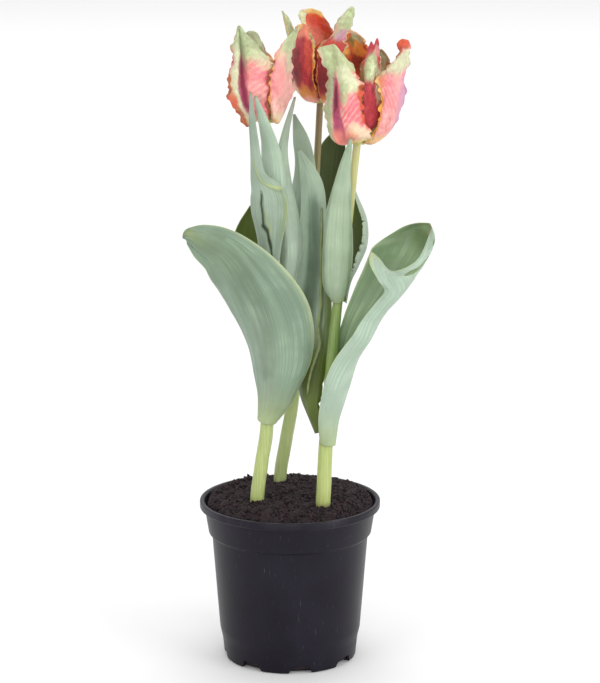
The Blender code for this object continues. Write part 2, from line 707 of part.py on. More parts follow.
def tube_mesh(path, sides):
    """Points and faces of a round tube with flat ends along path, whose rows are x, y, z and radius."""
    path = np.asarray(path, float)
    points = []
    for row, (x, y, z, radius) in enumerate(path):
        ahead = unit(path[min(row + 1, len(path) - 1), :3] - path[max(row - 1, 0), :3])
        right = unit(np.cross((0, 1, 0), ahead))
        back = np.cross(ahead, right)
        for side in range(sides):
            turn = 2 * math.pi * side / sides
            points.append(
                np.array((x, y, z)) + radius * (right * math.cos(turn) + back * math.sin(turn))
            )
    foot = tuple(reversed(range(sides)))
    head = tuple(range((len(path) - 1) * sides, len(path) * sides))
    return points, ring_faces(len(path), sides) + [foot, head]


def turned(name, outline, segments, finish):
    """A solid turned about Z from (radius, height) points, from its top centre down the outer side."""
    mesh = bpy.data.meshes.new(name)
    points = [(radius * MM, 0.0, height * MM) for radius, height in outline]
    mesh.from_pydata(points, [(i, i + 1) for i in range(len(points) - 1)], [])
    mesh.materials.append(material(finish))
    made = bpy.data.objects.new(name, mesh)
    bpy.context.scene.collection.objects.link(made)
    screw = made.modifiers.new("turn", "SCREW")
    screw.axis = "Z"
    screw.steps = segments
    screw.render_steps = segments
    screw.use_merge_vertices = True
    screw.merge_threshold = 0.00001
    screw.use_smooth_shade = True
    return made


def pot_outer_outline():
    """(radius, height) down the pot's outer side, from the rim's crest to the foot."""
    rim_foot = POT_HEIGHT - RIM_DROP
    return (
        (RIM_RADIUS - ROUND, POT_HEIGHT),
        (RIM_RADIUS - ROUND / 4, POT_HEIGHT - ROUND / 3),
        (RIM_RADIUS, POT_HEIGHT - ROUND),
        (RIM_RADIUS, rim_foot + EDGE),
        (RIM_RADIUS - EDGE, rim_foot),
        (COLLAR_TOP_RADIUS, rim_foot - EDGE / 2),
        (COLLAR_FOOT_RADIUS, COLLAR_FOOT_Z + EDGE),
        (COLLAR_FOOT_RADIUS - EDGE, COLLAR_FOOT_Z),
        (BODY_TOP_RADIUS, COLLAR_FOOT_Z - EDGE),
        (BODY_FOOT_RADIUS, BODY_FOOT_Z),
        (FOOT_TOP_RADIUS, FOOT_TOP_Z),
        (FOOT_RADIUS + ROUND / 4, ROUND),
        (FOOT_RADIUS - ROUND / 4, ROUND / 4),
        (FOOT_RADIUS - ROUND, 0.0),
    )


def pot_inner_outline():
    """(radius, height) up the pot's inner side, from the floor to the rim."""
    return (
        (FOOT_RADIUS - WALL, FLOOR),
        (FOOT_TOP_RADIUS - WALL, FOOT_TOP_Z),
        (BODY_FOOT_RADIUS - WALL, BODY_FOOT_Z),
        (BODY_TOP_RADIUS - WALL, COLLAR_FOOT_Z - EDGE),
        (COLLAR_FOOT_RADIUS - WALL, COLLAR_FOOT_Z + EDGE),
        (COLLAR_TOP_RADIUS - WALL, POT_HEIGHT - RIM_DROP),
        (RIM_RADIUS - RIM_WALL - EDGE, POT_HEIGHT - EDGE),
        (RIM_RADIUS - RIM_WALL, POT_HEIGHT),
    )


def inner_radius(height):
    radii, heights = zip(*pot_inner_outline())
    return float(np.interp(height, heights, radii))


def notch_cutter():
    """Eight wedges round the foot, each open to the outside and through the floor's edge."""
    section = (
        (-NOTCH_FOOT_WIDTH / 2, NOTCH_FOOT_Z),
        (NOTCH_FOOT_WIDTH / 2, NOTCH_FOOT_Z),
        (NOTCH_TOP_WIDTH / 2, NOTCH_HEIGHT),
        (-NOTCH_TOP_WIDTH / 2, NOTCH_HEIGHT),
    )
    corners = len(section)
    points = []
    faces = []
    for notch in range(NOTCHES):
        turn = math.radians(NOTCH_FIRST_ANGLE + notch * 360 / NOTCHES)
        across = np.array((math.cos(turn), math.sin(turn), 0.0))
        outward = np.array((math.sin(turn), -math.cos(turn), 0.0))
        first = len(points)
        points += [
            outward * distance + across * half + np.array((0, 0, height))
            for distance in (NOTCH_OUTER_RADIUS, NOTCH_INNER_RADIUS)
            for half, height in section
        ]
        sides = ring_faces(2, corners)
        ends = [tuple(reversed(range(corners))), tuple(range(corners, 2 * corners))]
        faces += [tuple(first + corner for corner in face) for face in [*sides, *ends]]
    cutter = make_object("notch_cutter", points, faces, POT_BLACK)
    cleaner = bmesh.new()
    cleaner.from_mesh(cutter.data)
    bmesh.ops.recalc_face_normals(cleaner, faces=cleaner.faces)
    cleaner.to_mesh(cutter.data)
    cleaner.free()
    return cutter


def make_pot():
    outline = ((0.0, FLOOR), *pot_inner_outline(), *pot_outer_outline(), (0.0, 0.0))
    pot = turned("pot", outline, POT_SEGMENTS, POT_BLACK)
    cut(pot, notch_cutter())


def soil_height(x, y):
    """The mound's surface: a low dome that drops to the rim, with lumps a few millimetres apart."""
    radius = math.hypot(x, y)
    shoulder = min(max((radius - SOIL_SHOULDER_RADIUS) / SOIL_SHOULDER_WIDTH, 0.0), 1.0)
    lumps = sum(share * math.sin(a * x + b * y + phase) for a, b, phase, share in SOIL_WAVES)
    return (
        SOIL_TOP
        - SOIL_FALL * (radius / SOIL_SHOULDER_RADIUS) ** 2
        - SOIL_SHOULDER_DROP * shoulder**2
        + SOIL_LUMP * lumps * (1 - 0.6 * shoulder)
    )


def make_soil():
    """The soil fills the pot, with a cavity for each bulb and a hole for each stem."""
    edge = inner_radius(POT_HEIGHT - RIM_DROP) - GAP
    points = []
    for ring in range(1, SOIL_RINGS + 1):
        radius = edge * ring / SOIL_RINGS
        for side in range(SOIL_SEGMENTS):
            turn = 2 * math.pi * side / SOIL_SEGMENTS
            x, y = radius * math.cos(turn), radius * math.sin(turn)
            points.append((x, y, soil_height(x, y)))
    heights = [height for _, height in pot_inner_outline()[1:6]]
    for height in [*reversed(heights), FLOOR + GAP]:
        radius = inner_radius(height) - SOIL_SIDE_GAP
        for side in range(SOIL_SEGMENTS):
            turn = 2 * math.pi * side / SOIL_SEGMENTS
            points.append((radius * math.cos(turn), radius * math.sin(turn), height))
    rings = len(points) // SOIL_SEGMENTS
    faces = [tuple(reversed(face)) for face in ring_faces(rings, SOIL_SEGMENTS)]
    points.append((0.0, 0.0, soil_height(0.0, 0.0)))
    crest = len(points) - 1
    faces += [(crest, side, (side + 1) % SOIL_SEGMENTS) for side in range(SOIL_SEGMENTS)]
    faces.append(tuple(reversed(range((rings - 1) * SOIL_SEGMENTS, rings * SOIL_SEGMENTS))))
    soil = make_object("soil", points, faces, SOIL_BROWN)
    for plant, stations in STEMS.items():
        hole = [(x, y, z, radius + GAP) for x, y, z, radius in stem_path(stations)]
        cut(soil, make_object(f"{plant}_stem_hole", *tube_mesh(hole, STEM_SIDES), SOIL_BROWN))
        cut(soil, bulb_solid(f"{plant}_bulb_hole", stations[0], GAP, False))


def bulb_solid(name, stem_foot, growth, with_socket):
    """A teardrop bulb under the stem, with a socket in its nose where the stem grows from."""
    x, y, _, stem_radius = stem_foot
    nose = stem_radius + NOSE_WALL + growth
    top = BULB_HEIGHT + growth
    outline = [(0.0, top)]
    if with_socket:
        socket = stem_radius + 1.5 * GAP
        outline = [(0.0, BULB_HEIGHT - SOCKET_DEPTH), (socket, BULB_HEIGHT - SOCKET_DEPTH), (socket, top)]
    outline += [(nose, top), (nose + NOSE_LENGTH / 3, BULB_HEIGHT - NOSE_LENGTH)]
    outline += [(wide * BULB_RADIUS + growth, high * BULB_HEIGHT) for wide, high in BULB_OUTLINE]
    wide, high = BASE_PLATE
    outline += [(wide * BULB_RADIUS + growth, high * BULB_HEIGHT - growth), (0.0, -growth)]
    bulb = turned(name, outline, BULB_SEGMENTS, BULB_BROWN)
    bulb.location = (x * MM, y * MM, BULB_FOOT_Z * MM)
    return bulb


def stem_path(stations):
    return [along(stations, row / (STEM_ROWS - 1)) for row in range(STEM_ROWS)]


def make_stem(plant, stations):
    make_object(f"{plant}_stem", *tube_mesh(stem_path(stations), STEM_SIDES), STEM_GREEN)


def thicken(blade, thickness):
    """Splits the sheet into triangles, so that both faces bend alike, and gives it its thickness."""
    sheet = bmesh.new()
    sheet.from_mesh(blade.data)
    bmesh.ops.triangulate(sheet, faces=sheet.faces, quad_method="FIXED")
    sheet.to_mesh(blade.data)
    sheet.free()
    solidify = blade.modifiers.new("thickness", "SOLIDIFY")
    solidify.thickness = thickness * MM
    solidify.offset = 0.0


def sheet_faces(rows, columns):
    across = columns + 1
    return [
        (
            row * across + column,
            row * across + column + 1,
            (row + 1) * across + column + 1,
            (row + 1) * across + column,
        )
        for row in range(rows)
        for column in range(columns)
    ]


def leaf_point(stations, share, side):
    """A point of a leaf: share runs from its foot to its tip and side from -1 to 1 across it."""
    x, y, z, half_width, cup, facing, tilt, roll = along(stations, share)
    step = 0.01
    ahead = unit((along(stations, min(share + step, 1)) - along(stations, max(share - step, 0)))[:3])
    facing, tilt, cup = math.radians(facing), math.radians(tilt), math.radians(max(cup, LEAST_CUP))
    look = np.array(
        (
            math.cos(tilt) * math.sin(facing),
            -math.cos(tilt) * math.cos(facing),
            math.sin(tilt),
        )
    )
    outward = unit(look - ahead * look.dot(ahead))
    across = np.cross(ahead, outward)
    bend_radius = half_width / cup
    ripple = math.sin(2 * math.pi * MARGIN_WAVES * share + MARGIN_LAG * side)
    ripple *= MARGIN_WAVE * (half_width / WAVED_WIDTH) * side**4
    rolled = roll * max((abs(side) - ROLL_START) / (1 - ROLL_START), 0.0) ** 2
    spoke = outward * math.cos(cup * side) + across * math.sin(cup * side)
    return np.array((x, y, z)) - outward * bend_radius + spoke * (bend_radius + ripple + rolled)


def make_leaf(name, stations):
    rows = LEAF_ROWS_PER_STATION * (len(stations) - 1)
    points = [
        leaf_point(stations, row / rows, 2 * column / LEAF_COLUMNS - 1)
        for row in range(rows + 1)
        for column in range(LEAF_COLUMNS + 1)
    ]
    leaf = make_object(name, points, sheet_faces(rows, LEAF_COLUMNS), LEAF_GREEN)
    thicken(leaf, LEAF_THICKNESS)


def trumpet_net():
    last = len(TRUMPET_TUBE) - 1
    tube = [
        [leaf_point(TRUMPET_TUBE, row / last, side) for side in TRUMPET_SIDES]
        for row in range(last)
    ]
    return [*tube, *TRUMPET_MOUTH]


def make_trumpet_leaf():
    net = trumpet_net()
    points = [
        along(along(net, row / TRUMPET_ROWS), column / TRUMPET_COLUMNS)
        for row in range(TRUMPET_ROWS + 1)
        for column in range(TRUMPET_COLUMNS + 1)
    ]
    faces = sheet_faces(TRUMPET_ROWS, TRUMPET_COLUMNS)
    thicken(make_object("right_trumpet_leaf", points, faces, LEAF_GREEN), LEAF_THICKNESS)


def share_of(shares, share):
    return float(along(np.array(shares)[:, None], share)[0])


def tepal_point(tepal, inner, share, side):
    """A point of a tepal about its flower's axis, with the flower's foot at the origin."""
    azimuth, length, reach, half_width, tip_lean, groove = tepal
    out = -1.0 if inner else 1.0
    radius = TEPAL_FOOT_RADIUS + (reach - TEPAL_FOOT_RADIUS) * share_of(REACH_SHARES, share)
    radius += tip_lean * share**4
    turn = side * half_width * share_of(WIDTH_SHARES, share) / radius
    edge = side**6 * math.sin(math.pi * min(share * 1.1, 1.0))
    wave = math.sin(2 * math.pi * RUFFLES * share + azimuth + 2.0 * side)
    middle = math.exp(-((math.degrees(turn) / GROOVE_HALF_ANGLE) ** 2))
    radius += out * RUFFLE * edge * (0.5 + 0.5 * wave)
    radius -= out * groove * middle * math.sin(math.pi * share)
    height = length * share_of(HEIGHT_SHARES, share) + RUFFLE_LIFT * edge * wave
    if inner:
        height += INNER_LIFT
    else:
        height -= MARGIN_SAG * side**2 * math.sin(math.pi * min(share * 2.2, 1.0))
    place = math.radians(azimuth) + turn
    return (radius * math.sin(place), -radius * math.cos(place), height)


def seen(across, down, depth):
    """Where a point is that is seen this far across and down the view, at this depth along Y."""
    tilt = math.radians(VIEW_TILT)
    slope_across = (across - VIEW_MIDDLE[0]) / VIEW_FOCUS
    slope_up = (VIEW_MIDDLE[1] - down) / VIEW_FOCUS
    far = depth - VIEW_PLACE[1]
    rise = slope_up * math.cos(tilt) - math.sin(tilt)
    rise *= far / (math.cos(tilt) + slope_up * math.sin(tilt))
    distance = far * math.cos(tilt) - rise * math.sin(tilt)
    return (VIEW_PLACE[0] + slope_across * distance, depth, VIEW_PLACE[2] + rise)


def seen_tepal_point(net, ruffle, phase, share, side):
    """A point of a tepal whose net is given, with the ruffles of its margins."""
    step = 0.02

    def plain(share, side):
        share = min(max(share, 0.0), 1.0)
        return along(along(net, share), min(max((side + 1) / 2, 0.0), 1.0))

    across = plain(share, side + step) - plain(share, side - step)
    ahead = plain(share + step, side) - plain(share - step, side)
    wave = math.sin(2 * math.pi * RUFFLES * share + phase + 2.0 * side)
    height = ruffle * side**4 * math.sin(math.pi * min(share * 1.04, 1.0)) * wave
    return plain(share, side) + unit(np.cross(across, ahead)) * height


def seen_tepal_points(shape):
    net = [[seen(*point) for point in row] for row in shape["net"]]
    if shape.get("inside_out"):
        net = [row[::-1] for row in net]
    return [
        seen_tepal_point(net, shape["ruffle"], shape["phase"], row / TEPAL_ROWS, side)
        for row in range(TEPAL_ROWS + 1)
        for side in TEPAL_SIDES
    ]


def make_tepal(name, points):
    finish = TEPAL_RED if "inner" in name else TEPAL_PINK
    tepal = make_object(name, points, sheet_faces(TEPAL_ROWS, len(TEPAL_SIDES) - 1), finish)
    thicken(tepal, TEPAL_THICKNESS)
    return tepal


def make_flower(plant, flower):
    """A flower's heart and its hidden tepals, which stand and lean together on the stem's end."""
    x, y, z, _ = STEMS[plant][-1]
    lean_forward, lean_right = (math.radians(angle) for angle in flower["lean"])
    pieces = [make_heart(plant)]
    for name, tepal in flower["tepals"].items():
        points = [
            tepal_point(tepal, name.startswith("inner"), row / TEPAL_ROWS, side)
            for row in range(TEPAL_ROWS + 1)
            for side in TEPAL_SIDES
        ]
        pieces.append(make_tepal(f"{plant}_{name}", points))
    for piece in pieces:
        piece.location = (x * MM, y * MM, (z + GAP - PISTIL[0][1]) * MM)
        piece.rotation_euler = (lean_forward, lean_right, 0.0)


def make_heart(plant):
    """The receptacle and pistil with the stamens round it, grown together in one solid."""
    rows = [(0.0, 0.0, height, radius) for radius, height in PISTIL]
    heart = make_object(f"{plant}_flower_heart", *tube_mesh(rows, PISTIL_SIDES), HEART_YELLOW)
    stamens = bpy.data.collections.new(f"{plant}_stamens")
    for number in range(STAMENS):
        turn = 2 * math.pi * (number + 0.5) / STAMENS
        path = [
            (distance * math.cos(turn), distance * math.sin(turn), height, radius)
            for distance, height, radius in STAMEN
        ]
        stamen = make_object(f"{plant}_stamen_{number}", *tube_mesh(path, STAMEN_SIDES), HEART_YELLOW)
        bpy.context.scene.collection.objects.unlink(stamen)
        stamens.objects.link(stamen)
    union = heart.modifiers.new("stamens", "BOOLEAN")
    union.operation = "UNION"
    union.solver = "EXACT"
    union.operand_type = "COLLECTION"
    union.collection = stamens
    graph = bpy.context.evaluated_depsgraph_get()
    grown = bpy.data.meshes.new_from_object(heart.evaluated_get(graph))
    heart.modifiers.clear()
    heart.data = grown
    for stamen in list(stamens.objects):
        bpy.data.objects.remove(stamen)
    bpy.data.collections.remove(stamens)
    return heart


def main():
    clear_scene()
    make_pot()
    make_soil()
    for plant, stations in STEMS.items():
        bulb_solid(f"{plant}_bulb", stations[0], 0.0, True)
        make_stem(plant, stations)
    for name, stations in LEAVES.items():
        make_leaf(name, stations)
    make_trumpet_leaf()
    for plant, flower in FLOWERS.items():
        make_flower(plant, flower)
    for name, shape in SEEN_TEPALS.items():
        make_tepal(name, seen_tepal_points(shape))


main()
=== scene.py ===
import math

import bmesh
import bpy
import numpy as np
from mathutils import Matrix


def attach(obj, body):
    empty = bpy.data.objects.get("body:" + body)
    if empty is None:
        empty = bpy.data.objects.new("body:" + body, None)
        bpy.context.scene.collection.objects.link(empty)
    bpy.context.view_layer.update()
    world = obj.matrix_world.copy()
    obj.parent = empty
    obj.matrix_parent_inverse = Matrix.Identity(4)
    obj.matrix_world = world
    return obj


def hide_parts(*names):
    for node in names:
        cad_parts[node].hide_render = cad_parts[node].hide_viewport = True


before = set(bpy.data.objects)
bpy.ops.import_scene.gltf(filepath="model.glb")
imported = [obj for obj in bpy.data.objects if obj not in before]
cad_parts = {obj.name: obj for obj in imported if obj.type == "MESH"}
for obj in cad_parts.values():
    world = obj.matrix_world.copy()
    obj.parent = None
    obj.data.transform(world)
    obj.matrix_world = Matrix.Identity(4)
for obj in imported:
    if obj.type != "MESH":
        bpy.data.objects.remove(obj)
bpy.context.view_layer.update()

bl_info = {
    "name": "Potted parrot tulips",
    "version": (1, 0, 0),
    "blender": (4, 5, 0),
    "location": "3D View > Sidebar > Tulips",
    "description": "Parrot tulips in a nursery pot, finished round their packed solids",
    "category": "Object",
}

MM = 0.001  # lengths are in millimetres until a mesh is made

# The camera, fitted to the photograph
CAMERA_PLACE = (6.67, -1600.0, 573.0)
CAMERA_TILT = 12.63  # degrees below level
FOCAL_PIXELS = 2497.0
PHOTO_WIDTH, PHOTO_HEIGHT = 600, 683
SENSOR = 36.0

# The pot, as its solid is
POT_HEIGHT = 107.5
RIM_RADIUS = 60.0
RIM_DROP = 5.0
RIM_WALL = 2.4
COLLAR_TOP_RADIUS = 56.8
COLLAR_FOOT_RADIUS = 54.2
COLLAR_FOOT_Z = 85.0
BODY_TOP_RADIUS = 52.0
BODY_FOOT_RADIUS = 47.0
BODY_FOOT_Z = 20.0
FOOT_TOP_RADIUS = 45.4
FOOT_TOP_Z = 13.0
FOOT_RADIUS = 44.0
WALL = 1.3
FLOOR = 1.6
NOTCHES = 8
NOTCH_FIRST_ANGLE = 9.2
NOTCH_HEIGHT = 5.2
NOTCH_TOP_WIDTH = 11.0
NOTCH_FOOT_WIDTH = 17.0
NOTCH_INNER_RADIUS = 38.0
NOTCH_OUTER_RADIUS = 50.0
NOTCH_FOOT_Z = -1.0

# The soil
SOIL_TOP = 112.0
SOIL_FALL = 2.5
SOIL_SHOULDER_RADIUS = 48.0
SOIL_SHOULDER_DROP = 5.5
SOIL_SHOULDER_WIDTH = 8.0
SOIL_LUMP = 1.1
SOIL_WAVES = (
    (0.31, 0.27, 0.9, 0.5),
    (0.31, -0.27, 1.7, 0.5),
    (0.62, -0.35, 2.0, 0.7),
    (0.40, 0.95, 1.6, 0.5),
)
SOIL_EDGE = 55.0  # radius of the soil where it meets the pot's collar
SOIL_SIDE = ((SOIL_EDGE, 100.0), (52.0, 86.5), (49.5, 70.0), (44.8, 20.0), (43.0, 13.0))
SOIL_FOOT_RADIUS = 41.5
CRUMB_SEED = 4

# The stems: x, y, z and radius of each point of the axis
STEMS = {
    "left": (
        (-21.0, -15.0, 78.4, 4.4),
        (-21.0, -15.6, 90.0, 4.6),
        (-21.6, -19.0, 112.5, 4.6),
        (-18.3, -19.5, 139.0, 4.4),
        (-14.6, -20.0, 168.0, 4.3),
        (-12.7, -20.0, 246.0, 3.4),
        (-13.8, -20.0, 312.0, 2.6),
        (-14.9, -20.0, 361.5, 2.5),
    ),
    "back": (
        (-4.0, 24.0, 78.4, 4.2),
        (-4.4, 24.3, 90.0, 4.3),
        (-6.9, 28.0, 112.5, 4.3),
        (-2.8, 28.0, 140.0, 4.3),
        (1.8, 28.0, 168.0, 4.2),
        (10.5, 28.0, 237.0, 3.2),
        (16.4, 28.0, 306.0, 2.4),
        (19.8, 28.0, 368.0, 2.2),
    ),
    "right": (
        (19.0, -19.0, 78.4, 4.6),
        (19.2, -19.6, 90.0, 4.8),
        (21.7, -28.0, 112.5, 4.8),
        (23.3, -28.0, 150.0, 4.6),
        (26.7, -28.0, 200.0, 3.9),
        (30.5, -28.0, 243.0, 3.2),
        (36.4, -28.0, 288.0, 2.6),
        (42.8, -28.0, 349.0, 2.4),
    ),
}

# The leaves, as their solids are. Each station from the foot to the tip gives x, y, z of the
# midrib, half the width, how far the blade curls to each side, its facing and its tilt
LEAVES = {
    "left_broad_leaf": (
        (-18.0, -26.1, 166, 10.6, 101, -30, 0),
        (-14.6, -31.6, 186, 19.4, 75, -32, 0),
        (-14.0, -35.5, 212, 30.8, 66, -32, 0),
        (-18.6, -40.4, 238, 33.1, 54, -27, 0),
        (-29.2, -45.6, 262.9, 27.0, 44, -23, 0),
        (-40.6, -48.5, 280.3, 18.2, 34, -18, 5),
        (-55.0, -48.0, 290, 11.8, 24, -15, 10),
        (-63.6, -45.0, 293.2, 5.4, 18, -15, 20),
        (-67.4, -43.4, 291.6, 0.8, 15, -15, 30),
    ),
    "left_shouldered_leaf": (
        (-16.9, -22.4, 236, 6.8, 80, -60, 0),
        (-16.5, -28.5, 256, 7.6, 50, -45, 0),
        (-13.6, -32.0, 284, 8.6, 48, -16, 0),
        (-14.2, -34.5, 305, 13, 48, -10, 0),
        (-15.0, -36.5, 318, 11.5, 46, -12, 0),
        (-20.5, -39.5, 331, 5.6, 46, -20, 0),
        (-22.8, -44.0, 354, 3.4, 46, -30, 0),
        (-24.2, -50.5, 385, 0.8, 30, -30, 0),
    ),
    "left_middle_leaf": (
        (-13.4, -24.7, 260, 4.4, 58, -14, 0),
        (-12.0, -27.0, 290, 7.2, 46, -4, 0),
        (-10.6, -28.2, 318, 8.4, 44, -4, 0),
        (-11.2, -30.5, 338, 7.4, 44, -8, 0),
        (-14.8, -38.5, 358, 4.6, 38, -14, 0),
        (-21.2, -47.5, 382, 0.8, 20, -20, 0),
    ),
    "left_folded_leaf": (
        (-8.9, -22.4, 214, 6.6, 80, 60, 0),
        (-3.5, -22.3, 240, 7.6, 50, 60, 0),
        (3.2, -19.4, 268, 11.0, 52, 48, 0),
        (3.4, -17.8, 292, 11.2, 58, 42, 0),
        (-1.2, -14.0, 318, 8.0, 60, 38, 0),
        (-3.2, -12.5, 345, 4.2, 60, 35, 0),
        (3.5, -12.0, 377, 0.8, 30, 35, 0),
    ),
    "back_side_leaf": (
        (1.0, 32.2, 190, 7.6, 80, -140, 0),
        (-10.0, 38.0, 222, 15, 60, -150, 0),
        (-22.0, 42.0, 252, 15, 46, -155, 0),
        (-29.0, 40.0, 278, 11, 40, -160, 0),
        (-26.0, 35.0, 299, 0.8, 30, -160, 0),
    ),
    "back_front_leaf": (
        (8.3, 22.8, 216, 7.3, 80, -5, 0),
        (9.0, 17.0, 250, 13, 56, 0, 0),
        (9.5, 13.0, 290, 13, 50, 5, 0),
        (10.4, 11.0, 326, 7.6, 44, 5, 0),
        (7.4, 10.0, 346, 5.4, 36, 5, 0),
        (2.8, 10.0, 363, 0.8, 20, 5, 0),
    ),
    "back_dark_leaf": (
        (13.0, 31.8, 246, 5.8, 84, 160, 0),
        (20.0, 40.0, 280, 13, 60, 170, 0),
        (26.0, 43.0, 312, 13, 50, 175, 0),
        (29.0, 42.0, 335, 10, 44, 175, 0),
        (35.0, 38.0, 352, 0.8, 20, 175, 0),
    ),
    "right_tall_leaf": (
        (17.0, -29.8, 160, 7.2, 70, -70, 0),
        (9.4, -24.8, 186, 13.2, 62, -50, 0),
        (11.4, -16.2, 222, 16, 56, -22, 0),
        (14.6, -9.6, 262, 13, 50, -10, 0),
        (15.0, -9.0, 298, 9.6, 46, -10, 0),
        (13.4, -8.0, 321, 7.6, 42, -10, 0),
        (5.8, -8.0, 343, 0.8, 20, -10, 0),
    ),
    "right_spindle_leaf": (
        (31.0, -32.2, 247, 5.4, 74, 0, 0),
        (30.2, -36.0, 258, 10.0, 60, 0, 0),
        (30.5, -39.0, 280, 11.5, 56, 0, 0),
        (31.5, -41.0, 305, 9.5, 54, 0, 0),
        (34.0, -44.5, 332, 5.0, 50, 0, 0),
        (38.6, -51.5, 356, 0.8, 30, 0, 0),
    ),
    "right_wrapping_leaf": (
        (35.8, -24.4, 246, 4.2, 50, 118, 0),
        (38.0, -24.0, 258, 6.0, 62, 114, 0),
        (43.0, -20.0, 267, 11, 72, 114, 0),
        (48.6, -13.5, 280, 15, 70, 114, 0),
        (49.0, -9.5, 296, 13.6, 70, 113, 0),
        (43.4, -7.5, 311, 7.8, 56, 110, 0),
        (38.5, -7.0, 325, 0.8, 30, 106, 0),
    ),
}
TRUMPET_LEAF = "right_trumpet_leaf"
TRUMPET_SIDES = (-1.0, -0.72, -0.4, 0.1, 0.55, 1.0)
TRUMPET_TUBE = (
    (28.6, -31.0, 152, 10.8, 106, 60, 0),
    (31.5, -32.0, 170, 15.5, 98, 68, 0),
    (38.0, -34.0, 192, 21, 98, 76, 0),
    (43.5, -36.0, 209, 24, 95, 88, 0),
    (52.0, -38.0, 226, 26, 92, 98, 0),
    (61.0, -40.0, 242, 28.5, 94, 103, 0),
)
TRUMPET_MOUTH = (
    ((46, -56, 241), (51, -57, 241), (57, -53, 241), (61.5, -39, 243.5), (54, -27, 246), (38, -24, 245)),
    ((54, -58, 252), (58.5, -60, 251.5), (65, -57, 251.5), (69.5, -42, 254.5), (61, -26, 257.5),
     (42.5, -25, 257)),
    ((60, -60, 260.5), (64, -62.5, 260), (71.5, -60.5, 260.5), (77, -45, 264.5), (68, -25, 268),
     (47, -26, 267.5)),
    ((55.5, -63, 268.5), (61.5, -64, 266), (72.5, -63.5, 265), (81.5, -47, 271.5), (73, -24, 277),
     (50.5, -29, 277)),
    ((50.5, -57, 277), (58, -62, 271), (71.5, -66, 268.5), (85.5, -49, 277), (76, -23, 283.5),
     (53, -31, 283)),
    ((51.5, -48, 282.5), (56.5, -57, 276), (70, -66, 271), (88.5, -50, 282.5), (79, -22.5, 289.5),
     (58, -27, 286.5)),
    ((56, -50, 280), (60.5, -60, 274), (76, -64.5, 272.5), (90, -51, 287), (81, -23, 293.5),
     (66.5, -24, 291.5)),
    ((64.5, -61, 273.5), (73, -64, 271), (83, -60.5, 277), (91, -50, 290.5), (84, -27, 296),
     (74, -23, 295.5)),
    ((80, -61, 280.5), (85.5, -58.5, 282.5), (89.5, -53.5, 287.5), (91.5, -46.5, 293.5), (88, -33, 298),
     (81.5, -27, 298)),
    ((89.5, -43, 296.5), (90, -42, 297), (90, -41, 298), (89.5, -39, 299), (89, -37, 299.5),
     (88.5, -35.5, 299.5)),
)
# How finely the pieces are made: rows along and columns or sides across
LEAF_ROWS = 18  # from each station to the next
LEAF_COLUMNS = 41
TRUMPET_ROWS, TRUMPET_COLUMNS = 180, 72
SEEN_ROWS, SEEN_COLUMNS = 112, 67
HIDDEN_ROWS, HIDDEN_COLUMNS = 80, 49
STEM_ROWS, STEM_SIDES = 160, 40
PISTIL_ROWS, PISTIL_SIDES = 60, 36
STAMEN_ROWS, STAMEN_SIDES = 18, 14
MOUND_RINGS, MOUND_SEGMENTS = 84, 360
CRUMB_BED_RINGS, CRUMB_BED_SEGMENTS = 20, 48
POT_SEGMENTS = 192

# The size of a leaf, in millimetres, that painted strokes are measured on
STROKE_LENGTH = 110.0
STROKE_WIDTH = 14.0

# The waved margins of the leaves
MARGIN_WAVE = 1.1
WAVED_WIDTH = 30.0
MARGIN_WAVES = 2.5
MARGIN_LAG = 1.6
LEAST_CUP = 5.0

# The tepals, as their solids are
TEPAL_FOOT_RADIUS = 5.8
INNER_LIFT = 2.4
REACH_SHARES = (0.0, 0.52, 0.86, 1.0, 1.0, 0.97, 0.94)
HEIGHT_SHARES = (0.0, 0.05, 0.2, 0.41, 0.62, 0.82, 1.0)
WIDTH_SHARES = (0.1, 0.46, 0.8, 0.98, 0.98, 0.68, 0.04)
RUFFLE = 4.2
RUFFLES = 3.3
RUFFLE_LIFT = 1.5
MARGIN_SAG = 3.5
GROOVE_HALF_ANGLE = 14.0
HEART_FOOT = -1.0  # height of the flower's origin above the stem's end, less the gap
GAP = 0.35
FLOWERS = {
    "left": {
        "lean": (0, 0),
        "tepals": {
            "outer_tepal_3": (-150, 50, 20.0, 17.0, 1.0, 2.0),
            "inner_tepal_2": (130, 42, 14.0, 11.0, 0.0, 1.0),
            "inner_tepal_3": (-106, 46, 14.0, 10.0, 0.0, 1.0),
        },
    },
    "back": {
        "lean": (-3, -2),
        "tepals": {
            "inner_tepal_1": (6, 36, 13.5, 10.0, 0.0, 1.0),
            "inner_tepal_3": (-72, 42, 13.2, 6.0, -1.0, 1.0),
        },
    },
    "right": {
        "lean": (0, 4),
        "tepals": {
            "inner_tepal_3": (-108, 52, 13.5, 9.8, 0.0, 1.0),
        },
    },
}
